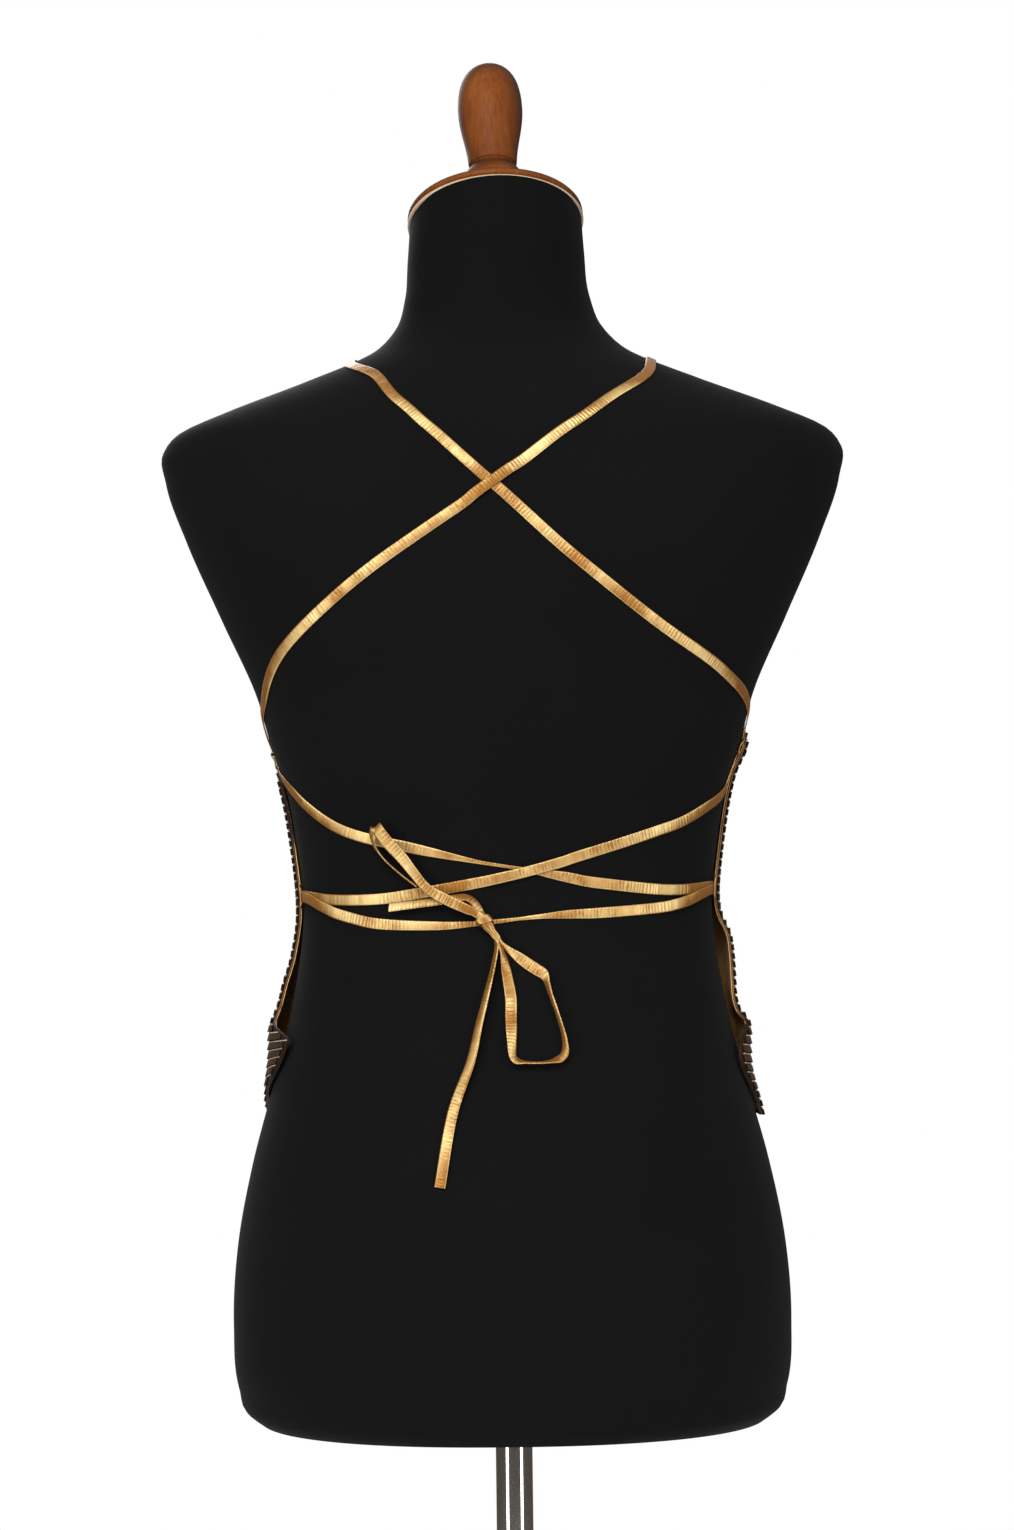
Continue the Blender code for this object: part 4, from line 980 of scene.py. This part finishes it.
# %% Bead shapes and glass
def glass(name, dark, light, metallic, rough):
    """Shiny bead glass whose colour and gloss read the bead's own tone."""
    material, tree, shader = new_material(
        name, metallic=metallic, specular_ior_level=0.25, specular_tint=(0.62, 0.42, 0.28))
    tone = add_node(tree, "ShaderNodeAttribute", attribute_name="tone").outputs["Fac"]
    cloudy = use_group(tree, drift, Vector=coordinates(tree), Scale=900.0, Contrast=0.5)
    mixed = calculate(tree, "MULTIPLY_ADD", cloudy, 0.3, calculate(tree, "MULTIPLY", tone, 0.7))
    shine = remap(tree, tone, 0.0, 1.0, rough, rough + 0.15)
    paint(tree, shader, mix_colors(tree, mixed, dark, light), shine)
    return material


bugle_glass = glass("bronze bugle glass", (0.003, 0.0015, 0.0008), (0.040, 0.016, 0.005), 0.0, 0.24)
seed_glass = glass("pale seed glass", (0.26, 0.21, 0.16), (0.52, 0.44, 0.35), 0.10, 0.32)


def sew_halves(name, template, triangles, frames, material, scales):
    """The beads of one kind as a lower and an upper piece, so that neither grows too big."""
    middle = len(frames) // 2
    return [sew(f"{name}_{half}", template, triangles, frames[part], material, scales[part])
            for half, part in (("lower", slice(middle)), ("upper", slice(middle, None)))]


corner = circle(6)
tube = np.stack([np.cos(corner), 0 * corner, np.sin(corner)], axis=-1) * BUGLE["radius"] * MM
half = np.array([0.0, BUGLE["length"] / 2 * MM, 0.0])
bugle_shape = np.concatenate([tube - half, tube + half])
bugle_sides = [(step, step + 6, (step + 1) % 6 + 6, (step + 1) % 6) for step in range(6)]
bugle_quads = np.array(bugle_sides + [(0, 1, 2, 3), (0, 3, 4, 5), (9, 8, 7, 6), (11, 10, 9, 6)])
count = len(bugle_frames)
scales = np.stack([draw.normal(1.0, 0.03, count), draw.normal(1.0, 0.035, count), np.ones(count)], axis=-1)
bead_pieces = sew_halves("bugles", bugle_shape, bugle_quads, bugle_frames, bugle_glass, scales)

golden = (1 + math.sqrt(5)) / 2
ball = unit(np.array([(-1, golden, 0), (1, golden, 0), (-1, -golden, 0), (1, -golden, 0), (0, -1, golden),
                      (0, 1, golden), (0, -1, -golden), (0, 1, -golden), (golden, 0, -1), (golden, 0, 1),
                      (-golden, 0, -1), (-golden, 0, 1)]))
ball_faces = np.array([(0, 11, 5), (0, 5, 1), (0, 1, 7), (0, 7, 10), (0, 10, 11), (1, 5, 9), (5, 11, 4),
                       (11, 10, 2), (10, 7, 6), (7, 1, 8), (3, 9, 4), (3, 4, 2), (3, 2, 6), (3, 6, 8),
                       (3, 8, 9), (4, 9, 5), (2, 4, 11), (6, 2, 10), (8, 6, 7), (9, 8, 1)])
seed_shape = ball * np.array([1.0, 0.88, 0.88]) * SEED["radius"] * MM
scales = np.ones((len(seed_frames), 3)) * draw.normal(1.0, 0.06, (len(seed_frames), 1))
bead_pieces += sew_halves("seed_beads", seed_shape, ball_faces, seed_frames, seed_glass, scales)
for piece in bead_pieces:
    wear(piece, "beads")

# %% [markdown]
# ## Strips of satin
#
# Every tie is a bias strip folded flat: cut about 15 mm wide, its long edges brought together
# behind, pressed to 6.6 mm. A flat ribbon would do from afar, but the folded edge is what catches
# the light, so the section is a thin wall that runs over the face, round both folds and back to
# the middle behind. The section is carried along each route, and small crosswise crinkles come
# and go on its face.

# %% Sections carried along a path
STRIP_CUT = 0.0146
STRIP_THICK = 0.0010
STRIP_WALL = 0.0002
SEAM_GAP = 4.0  # degrees that the section leaves open on either side of the seam
CRINKLE_RISE = 0.055 * MM


def superellipse(angle, half_width, half_thick, power):
    """x = w·cos^p and y = h·sin^p with their signs kept, at each angle for each width."""
    x, y = (np.sign(wave) * np.abs(wave) ** power for wave in (np.cos(angle), np.sin(angle)))
    x = half_width[:, None] * x
    return x, np.reshape(half_thick, (-1, 1)) * y + 0 * x


def fold_section(half_width, half_thick, count=11):
    """The strip seen from its end: from the seam behind, round one fold, over the face and round
    the other fold to the seam again."""
    angle = np.radians(-90.0 - np.linspace(SEAM_GAP, 360.0 - SEAM_GAP, count))
    return superellipse(angle, half_width, half_thick, 2.0 / 2.8)


def crinkle(distance, phase):
    """Short waves, 2330 radians to the metre or 2.7 mm apart, whose height swells and fades along
    the strip with the sum of two slow waves."""
    swell = np.sin(distance * 61.0 + phase) + 0.45 * np.sin(distance * 173.0 + 2.0 * phase)
    wave = np.sin(distance * 2330.0 + 1.3 * np.sin(distance * 330.0 + phase) + phase)
    return CRINKLE_RISE * np.clip(swell, 0.0, 1.2) * wave


def carried(centres, sides, ups, x, y):
    """The section's points at every centre: centre + side·x + up·y."""
    return centres[:, None] + sides[:, None] * x[..., None] + ups[:, None] * y[..., None]


def directions(centres, out):
    """At every centre the directions across the path and up from it; out points off the form."""
    along = unit(np.gradient(centres, axis=0))
    sides = unit(np.cross(out, along))
    return sides, np.cross(along, sides)


def folded_strip(name, centres, sides, ups, widths, phase=0.0):
    """The folded section carried along centres: a closed thin wall, with its ends closed too."""
    distance = path_length(centres)
    outer_x, outer_y = fold_section(widths / 2, STRIP_THICK / 2)
    inner_x, inner_y = fold_section(widths / 2 - STRIP_WALL, STRIP_THICK / 2 - STRIP_WALL)
    count = outer_x.shape[1]
    x = np.concatenate([outer_x, inner_x[:, ::-1]], axis=1)
    y = np.concatenate([outer_y, inner_y[:, ::-1]], axis=1)
    wave = crinkle(distance, phase)[:, None] * (y > 0.1 * MM)
    sag = 1.0 - 0.10 * np.sin(distance * 47.0 + phase)[:, None]
    points = carried(centres, sides, ups, x, y * sag + wave)
    ring = 2 * count
    faces = grid_faces(len(centres), ring, closed=True)[:, ::-1]
    step = np.arange(count - 1)
    cap = np.stack([step, step + 1, ring - 2 - step, ring - 1 - step], axis=-1)
    faces = np.concatenate([faces, cap[:, ::-1], cap + (len(centres) - 1) * ring]).tolist()
    across = np.linspace(0.0, STRIP_CUT, count)
    v = np.concatenate([across, across[::-1]]) + 0 * x
    uv = np.stack([distance[:, None] + 0.6 * phase + 0 * x, v], axis=-1)
    length = round(float(distance[-1]), 3)
    print(name, "length:", length)
    return put_mesh(name, points, faces, gold, uv, sharp=75), length


def stations(rows, step, curved=2):
    """Even places along a route of (turn, height, ...) rows: the first columns run on a smooth
    curve, the others straight from row to row."""
    curve = spline(rows[:, :curved], 24)
    at = np.linspace(0.0, len(rows) - 1.0, len(curve))
    distance = path_length(form_point(curve[:, 0], curve[:, 1]))
    even = np.linspace(0.0, distance[-1], max(int(round(distance[-1] / step)), 4) + 1)
    smooth = [np.interp(even, distance, curve[:, column]) for column in range(curved)]
    straight = [np.interp(np.interp(even, distance, at), np.arange(len(rows)), rows[:, column])
                for column in range(curved, rows.shape[1])]
    return smooth + straight


def twisted(sides, ups, degrees):
    """Those directions turned about the strip's own run."""
    angle = np.radians(degrees)[:, None]
    return (sides * np.cos(angle) + ups * np.sin(angle), ups * np.cos(angle) - sides * np.sin(angle))


def lie_on_form(turn, height, lift, widths, twist):
    """Middle line and directions of a strip whose lowest edge is lift off the form."""
    normals = form_normal(turn, height)
    tipped = np.radians(twist)
    middle = lift + (np.abs(np.sin(tipped)) * widths + np.abs(np.cos(tipped)) * STRIP_THICK) / 2
    centres = form_point(turn, height) + normals * middle[:, None]
    return centres, *twisted(*directions(centres, normals), twist)


# %% [markdown]
# ## The ties
#
# Each tie leaves a front corner, goes over the shoulder and down across the back to the loop at
# the other underarm, turns there, crosses to the loop at the waist, and comes back to the knot. A
# route is a short table of places on the form. Where one tie lies over another, the table lifts it
# by one layer.

# %% The ties
LAYER = STRIP_THICK + 0.00015
TIE_LIFT = 0.0003
STATION = 0.0009
FULL_WIDTH = 6.6

# degrees round from the middle of the back, height, layers beneath, width in millimetres
OVER_SHOULDER = (
    (159.4, 0.5642), (158.7, 0.5720), (156.9, 0.5870), (148.6, 0.6060), (131.5, 0.6220),
    (112.0, 0.6295), (90.0, 0.6325), (64.0, 0.6285),
)
TIE_ROUTES = {
    "tie_a_shoulder": filled([
        *((-turn, height) for turn, height in OVER_SHOULDER),
        (-38.6, 0.6205), (-22.1, 0.6042), (-12.2, 0.5863), (-1.7, 0.5530), (12.9, 0.5097),
        (32.2, 0.4702), (53.8, 0.4440), (70.0, 0.4300, 0, 6.4), (80.5, 0.4215, 0, 5.6),
        (84.0, 0.4150, 0, 4.9), (85.2, 0.4090, 0, 4.5), (85.5, 0.4042, 0, 4.3),
    ], 0, FULL_WIDTH),
    "tie_a_back": filled([
        (85.5, 0.4021, 0, 4.2), (85.4, 0.3950, 0, 4.5), (83.8, 0.3850, 0, 5.8), (78.5, 0.3738),
        (62.4, 0.3638), (50.5, 0.3554), (39.7, 0.3493), (20.0, 0.3372), (14.5, 0.3336, 1, 6.4),
        (5.6, 0.3284, 1, 6.2), (-3.0, 0.3242, 1, 6.4), (-9.0, 0.3215), (-23.7, 0.3162),
        (-36.1, 0.3127), (-52.5, 0.3119), (-70.0, 0.3134, 0, 6.4), (-79.5, 0.3138, 0, 6.0),
    ], 0, FULL_WIDTH),
    "tie_a_waist": filled([
        (-79.5, 0.3128, 1, 6.0), (-69.2, 0.3122, 1, 6.4), (-58.4, 0.3075, 1), (-53.0, 0.3044, 1),
        (-46.5, 0.3015), (-36.2, 0.2981), (-19.3, 0.2970, 0, 5.2), (-9.6, 0.2979, 0, 3.2),
        (-6.8, 0.2984, 0, 2.8),
    ], 0, FULL_WIDTH),
    "tie_b_shoulder": filled([
        *OVER_SHOULDER,
        (42.0, 0.6180), (24.1, 0.6052), (11.7, 0.5872), (3.4, 0.5662), (1.0, 0.5604, 1),
        (-1.7, 0.5538, 1), (-4.6, 0.5467, 1), (-8.0, 0.5383), (-20.2, 0.5132), (-38.8, 0.4785),
        (-56.5, 0.4514), (-71.3, 0.4302, 0, 6.4), (-80.5, 0.4210, 0, 5.6), (-87.0, 0.4125, 0, 4.9),
        (-91.4, 0.4052, 0, 4.5), (-92.3, 0.3999, 0, 4.3),
    ], 0, FULL_WIDTH),
    "tie_b_back": filled([
        (-92.2, 0.3971, 0, 4.2), (-92.1, 0.3902, 0, 4.4), (-88.2, 0.3868, 0, 5.2),
        (-80.5, 0.3834, 0, 6.0), (-71.5, 0.3770), (-62.8, 0.3680), (-46.1, 0.3525), (-26.0, 0.3427),
        (-18.5, 0.3391, 0, 5.2), (-12.0, 0.3360, 0, 3.4), (-6.7, 0.3336, 0, 2.1),
        (0.0, 0.3312, 0, 1.9), (5.6, 0.3290, 0, 2.6), (10.5, 0.3269, 0, 4.6), (16.0, 0.3245, 0, 6.2),
        (25.1, 0.3207), (47.6, 0.3158), (70.0, 0.3165, 0, 6.4), (79.5, 0.3167, 0, 6.0),
    ], 0, FULL_WIDTH),
    "tie_b_waist": filled([
        (79.5, 0.3157, 1, 6.0), (67.1, 0.3134, 1, 6.4), (56.0, 0.3090, 1), (51.0, 0.3072, 1),
        (44.5, 0.3055), (25.1, 0.3033, 0, 6.2), (16.0, 0.3028, 0, 5.0), (9.8, 0.3020, 0, 3.0),
        (3.0, 0.3006, 0, 1.9), (-2.2, 0.2994, 0, 2.6), (-5.0, 0.2988, 0, 3.0),
    ], 0, FULL_WIDTH),
}

for number, (name, rows) in enumerate(TIE_ROUTES.items()):
    turn, height, layers, width = stations(rows, STATION)
    middle_line = lie_on_form(turn, height, TIE_LIFT + LAYER * layers, width * MM, np.zeros(len(turn)))
    strip, length = folded_strip(name + "_satin", *middle_line, width * MM, 0.9 + 1.7 * number)
    wear(strip, "satin", name)

# %% [markdown]
# ## The loops
#
# Four narrow loops are sewn into the side edges, and each holds a tie like the keeper on a belt.
# They are the same satin, rolled and stitched, so the section is a small rounded bar.

# %% The loops
LOOP_WIDTH = 0.0024
LOOP_THICK = 0.0009
WAIST_LOOP = np.array([
    (81.2, 0.3220, 0.0),
    (78.6, 0.3222, 1.6),
    (76.6, 0.3212, 2.1),
    (75.9, 0.3162, 2.2),
    (76.6, 0.3112, 2.1),
    (78.6, 0.3102, 1.6),
    (81.2, 0.3104, 0.0),
])
UPPER_LOOP = np.array([
    (88.3, 0.4112, 0.2),
    (87.6, 0.4114, 1.0),
    (85.4, 0.4112, 1.2),
    (83.2, 0.4106, 1.0),
    (82.2, 0.4074, 0.4),
    (83.2, 0.4042, 1.0),
    (85.2, 0.4034, 1.2),
    (86.9, 0.4032, 1.0),
    (87.6, 0.4032, 0.2),
])

# Each loop: its table, side, degrees further round, how much higher
LOOPS = {
    "waist_loop_left": (WAIST_LOOP, -1, 0.0, -0.0029),
    "waist_loop_right": (WAIST_LOOP, 1, 0.0, 0.0),
    "upper_loop_left": (UPPER_LOOP, -1, 7.0, -0.0128),
    "upper_loop_right": (UPPER_LOOP, 1, 0.0, -0.0080),
}


def bar_faces(count, around, closed=False):
    """Quads along a bar of so many rings, and its flat ends, or the quads that close it to a ring."""
    faces = grid_faces(count, around, closed=True).tolist()
    start, end = np.arange(around), np.arange(around) + (count - 1) * around
    if closed:
        return faces + np.stack([end, np.roll(end, -1), np.roll(start, -1), start], axis=-1).tolist()
    return faces + [start[::-1].tolist(), end.tolist()]


def rolled_bar(name, centres, sides, ups, widths, thick, material, around=12, closed=False):
    """A superellipse section carried along centres: a solid bar with closed ends, or a ring."""
    angle = circle(around)
    x, y = superellipse(angle, widths / 2, np.asarray(thick) / 2, 0.8)
    distance = path_length(centres)
    print(name, "length:", round(float(distance[-1]), 3))
    uv = np.stack([distance[:, None] + 0 * x, np.linspace(0.0, 3.0 * LOOP_WIDTH, around) + 0 * x], axis=-1)
    faces = bar_faces(len(centres), around, closed)
    return put_mesh(name, carried(centres, sides, ups, x, y), faces, material, uv, sharp=75)


for name, (rows, side, further, higher) in LOOPS.items():
    route = spline(np.stack([side * (rows[:, 0] + further), rows[:, 1] + higher, rows[:, 2]], axis=-1), 8)
    lift = TIE_LIFT + LAYER * route[:, 2] + LOOP_THICK / 2
    normals = form_normal(route[:, 0], route[:, 1])
    centres = form_point(route[:, 0], route[:, 1]) + normals * lift[:, None]
    bar = rolled_bar(name + "_satin", centres, *directions(centres, normals),
                     np.full(len(centres), LOOP_WIDTH), LOOP_THICK, gold)
    wear(bar, "satin", name)

# %% [markdown]
# ## The edge cord
#
# A thin cord of the lining's satin is sewn into the side edges and the neckline, and shows as a
# lighter line beside the beads. Its satin is coloured darker than the lining's, a painted shade
# along the edge. It is one tube carried up the left edge, along the neckline and down the right
# edge. Where the lining is hidden it thins to almost nothing.

# %% The edge cord
CORD = 0.0010
CORD_LIFT = 0.0021
LEAST_CORD = 0.02
THINNER, THINNER_FROM = 0.4, (0.244, 0.256)
SIDE_STEPS, NECK_STEPS = 260, 58
edge_rows = np.linspace(HEM, NECKLINE - 0.001, SIDE_STEPS)
neck_share = np.linspace(-1.0, 1.0, NECK_STEPS + 2)[1:-1]
share = np.concatenate([-np.ones(SIDE_STEPS), neck_share, np.ones(SIDE_STEPS)])
rows = np.concatenate([edge_rows, np.full(NECK_STEPS, edge_rows[-1]), edge_rows[::-1]])
turn, height = cloth_spots(share, rows)
centres, out = cloth_point(turn, height, CORD_LIFT)
centres[1:-1] = (centres[:-2] + 2 * centres[1:-1] + centres[2:]) / 4
# Painted shade: the cord's satin is a darker copy of the lining's, for the shade along the edge.
shaded_cord_satin = satin_finish("edge satin", (0.36, 0.20, 0.080), (0.10, 0.040, 0.012), 0.3, 0.42, 0.5)
thinned = 1.0 - THINNER * up_left(share, rows, *THINNER_FROM)
cord_size = CORD * (LEAST_CORD + lining_shown(share, rows) * thinned)
piping = rolled_bar("edge_cord", centres, *directions(centres, out), cord_size, cord_size, shaded_cord_satin, 8)
wear(piping, "lining")

# %% [markdown]
# ## The bow
#
# The tails are tied once into a lopsided bow: one ear stands up and turns over at its top, the
# other hangs down and folds at two corners, one tail hangs long and one lies short. Every band is
# a table of places measured across and up from the knot, with its lift, width and twist.

# %% The bow's bands
KNOT_TURN = -5.9
KNOT_HEIGHT = 0.2985

# millimetres across and up from the knot, lift, width, twist in degrees
BOW_BANDS = {
    "bow_ear_lower": np.array([
        (6.6, -9.4, 1.4, 4.0, 50),
        (9.2, -12.6, 0.8, 3.4, 60),
        (13.4, -16.4, 0.8, 4.6, 46),
        (18.4, -20.2, 0.8, 6.0, 16),
        (23.6, -23.8, 0.8, 7.0, 0),
        (29.0, -27.4, 0.8, 7.0, 0),
        (32.6, -30.2, 0.8, 6.4, 20),
        (34.4, -34.6, 0.8, 5.6, 62),
        (36.6, -42.2, 0.8, 4.8, 72),
        (40.0, -52.2, 0.8, 4.4, 74),
        (43.4, -64.0, 0.8, 4.6, 72),
        (44.4, -71.2, 0.8, 5.4, 62),
        (43.9, -76.0, 0.8, 6.0, 44),
        (41.0, -78.8, 0.8, 6.2, 36),
        (36.0, -80.2, 0.8, 5.6, 58),
        (29.0, -80.8, 0.8, 5.2, 68),
        (21.5, -80.4, 0.8, 5.4, 62),
        (17.0, -79.6, 0.8, 6.0, 40),
        (14.6, -76.6, 0.8, 5.4, 40),
        (14.2, -70.5, 0.8, 6.2, 34),
        (14.0, -62.0, 0.8, 6.6, 10),
        (13.8, -54.0, 0.8, 6.8, 0),
        (13.8, -43.1, 0.8, 6.8, 0),
        (11.6, -28.8, 0.8, 6.2, 16),
        (9.4, -17.4, 0.8, 4.6, 58),
        (6.9, -10.2, 1.0, 4.2, 50),
    ]),
    "bow_tail_long": np.array([
        (6.0, -9.4, 0.8, 4.4, 50),
        (6.0, -14.8, 0.8, 4.4, 62),
        (3.2, -28.8, 0.8, 5.8, 60),
        (-4.1, -57.2, 0.8, 6.6, 48),
        (-9.5, -79.7, 0.8, 6.6, 34),
        (-20.1, -108.3, 0.8, 6.6, 10),
        (-27.9, -149.7, 0.8, 6.6, 0),
    ]),
    "bow_tail_short": np.array([
        (-1.6, 2.2, 2.4, 5.0, 20),
        (-5.2, 10.6, 2.2, 5.6, 48),
        (-10.6, 15.0, 1.8, 5.8, 56),
        (-18.0, 14.5, 1.5, 5.8, 42),
        (-28.6, 12.8, 1.5, 5.8, 40),
        (-42.0, 11.1, 1.5, 5.9, 36),
        (-55.1, 9.4, 1.5, 6.0, 30),
    ]),
}


def behind(across, up):
    """Turn and height of the place on the back at millimetres across and up from the knot; the
    turn is found by halving, because the form widens steadily from the middle to its side."""
    knot = form_point(KNOT_TURN, KNOT_HEIGHT)
    height = KNOT_HEIGHT + up * MM
    low, high = np.full(len(up), -89.0), np.full(len(up), 89.0)
    for _ in range(40):
        middle = (low + high) / 2
        beyond = form_point(middle, height)[:, 0] > knot[0] + across * MM
        low, high = np.where(beyond, low, middle), np.where(beyond, middle, high)
    return middle, height


for number, (name, rows) in enumerate(BOW_BANDS.items()):
    turn, height = behind(rows[:, 0], rows[:, 1])
    route = np.concatenate([np.stack([turn, height], axis=-1), rows[:, 2:]], axis=1)
    turn, height, lift, width, twist = stations(route, STATION)
    middle_line = lie_on_form(turn, height, lift * MM, width * MM, twist)
    strip, length = folded_strip(name + "_satin", *middle_line, width * MM, 11.3 + 1.3 * number)
    wear(strip, "satin", name)

# %% [markdown]
# ### The standing ear
#
# The upper ear leaves the knot, stands a few millimetres off the back and turns over at its top.
# It lies on nothing there, so its table also says which way its width points, and the folded band
# comes back on its edge, lower and to the left.

# %% The standing ear
# millimetres across and up from the knot, lift, width, and the width's direction across, up and out
UPPER_EAR = np.array([
    (-2.6, 3.0, 4.6, 4.4, 0.60, 0.80, 0.0),
    (-6.3, 6.0, 5.4, 4.8, 0.60, 0.80, 0.0),
    (-11.0, 8.4, 6.0, 5.8, 0.50, 0.87, 0.0),
    (-23.1, 14.6, 6.4, 6.4, 0.52, 0.85, 0.0),
    (-32.9, 21.2, 6.6, 5.6, 0.66, 0.75, 0.0),
    (-39.8, 30.2, 7.2, 6.0, 0.80, 0.60, 0.0),
    (-46.1, 39.4, 8.0, 7.0, 0.80, 0.60, 0.0),
    (-53.0, 47.8, 8.8, 7.6, 0.74, 0.67, 0.0),
    (-57.8, 54.4, 8.8, 7.8, 0.74, 0.67, 0.0),
    (-60.2, 57.0, 7.0, 7.6, 0.76, 0.64, 0.0),
    (-61.8, 56.4, 5.4, 6.6, 0.80, 0.55, 0.1),
    (-63.4, 51.6, 5.0, 5.6, 0.88, 0.20, 0.4),
    (-62.0, 45.0, 5.0, 4.8, 0.50, 0.35, 0.8),
    (-56.6, 37.6, 4.8, 4.6, 0.24, 0.24, 0.94),
    (-50.4, 31.4, 4.6, 4.4, 0.20, 0.20, 0.96),
    (-44.4, 26.2, 4.5, 4.2, 0.20, 0.20, 0.96),
    (-38.8, 21.6, 4.5, 4.0, 0.20, 0.20, 0.96),
])


def off_form(rows, lift):
    """Places that far off the back, square to the form, and its outward directions there."""
    turn, height = behind(rows[:, 0], rows[:, 1])
    normals = form_normal(turn, height)
    return form_point(turn, height) + normals * (lift * MM)[:, None], normals


points, normals = off_form(UPPER_EAR, UPPER_EAR[:, 2])
across = unit(np.array([1.0, 0.0, 0.0]) - normals * normals[:, :1])
wide = sum(UPPER_EAR[:, 4 + index:5 + index] * part
           for index, part in enumerate((across, np.cross(normals, across), normals)))
curve = spline(np.concatenate([points, wide, UPPER_EAR[:, 3:4]], axis=1), 24)
distance = path_length(curve[:, :3])
even = np.linspace(0.0, distance[-1], int(distance[-1] / STATION) + 1)
curve = np.stack([np.interp(even, distance, column) for column in curve.T], axis=-1)
centres, wide, width = curve[:, :3], curve[:, 3:6], curve[:, 6] * MM
along = unit(np.gradient(centres, axis=0))
sides = unit(along * (along * wide).sum(-1, keepdims=True) - wide)
ear, length = folded_strip("bow_ear_upper_satin", centres, sides, np.cross(along, sides), width, 17.0)
wear(ear, "satin", "bow_ear_upper")

# %% [markdown]
# ### The knot
#
# The knot is one turn of the strip pulled tight round the ears, with a short root below it from
# which the hanging bands fall. It is a lofted lump whose section is pleated.

# %% The knot
KNOT_AROUND = 40

# millimetres across and up from its middle, height of its axis, half width, half height
KNOT_SECTIONS = np.array([
    (-5.0, 6.2, 4.0, 1.6, 1.2),
    (-3.6, 4.6, 4.0, 2.6, 2.0),
    (-0.8, 1.2, 4.0, 3.2, 2.8),
    (1.6, -2.2, 3.8, 3.1, 2.6),
    (3.8, -5.4, 3.2, 2.2, 1.8),
    (6.0, -8.6, 2.8, 2.0, 1.6),
    (7.6, -11.4, 2.4, 1.5, 1.2),
])
points, normals = off_form(KNOT_SECTIONS, KNOT_SECTIONS[:, 2])
curve = spline(np.concatenate([points, normals, KNOT_SECTIONS[:, 3:]], axis=1), 8)
centres, half_width, half_height = curve[:, :3], curve[:, 6:7], curve[:, 7:8]
sides, ups = directions(centres, curve[:, 3:6])
angle = circle(KNOT_AROUND)
run = np.linspace(0.0, 1.0, len(curve))[:, None]
pleat = 1.0 + 0.07 * np.cos(5 * angle + 5.0 * run) + 0.04 * np.cos(9 * angle - 3.0 * run)
x = np.cos(angle) * pleat * half_width * MM
y = np.sin(angle) * pleat * half_height * MM
uv = np.stack([run * 0.02 + 0 * x, angle * 0.004 + 0 * x], axis=-1)
lump = carried(centres, sides, ups, x, y)
knot = put_mesh("bow_knot_satin", lump, bar_faces(len(curve), KNOT_AROUND), gold, uv, sharp=75)
wear(knot, "satin", "bow_knot")

# %% [markdown]
# ### The strip round the knot
#
# One more turn of the strip is drawn round the knot's middle. It is an oval ring in the plane of
# one of the knot's sections, a little larger than the section and leaned along the knot.

# %% The strip round the knot
WRAP_AT = 16
WRAP_STEPS = 48
WRAP_LEAN = 1.3
wide, high, side, up = half_width[WRAP_AT], half_height[WRAP_AT], sides[WRAP_AT], ups[WRAP_AT]
angle = circle(WRAP_STEPS)[:, None]
lean = WRAP_LEAN * np.cos(angle + 0.5) * np.cross(side, up)
reach = side * np.cos(angle) * (wide + 0.8) + up * np.sin(angle) * (high + 0.7) + lean
ring = centres[WRAP_AT] + reach * MM
outward = unit(side * np.cos(angle) / wide + up * np.sin(angle) / high)
run = unit(np.roll(ring, -1, axis=0) - np.roll(ring, 1, axis=0))
sides = unit(np.cross(outward, run))
width = (4.4 + 0.6 * np.sin(2 * angle[:, 0])) * MM
wrap = rolled_bar("bow_wrap", ring, sides, np.cross(run, sides), width, LOOP_THICK, gold, 16, closed=True)
wear(wrap, "satin")
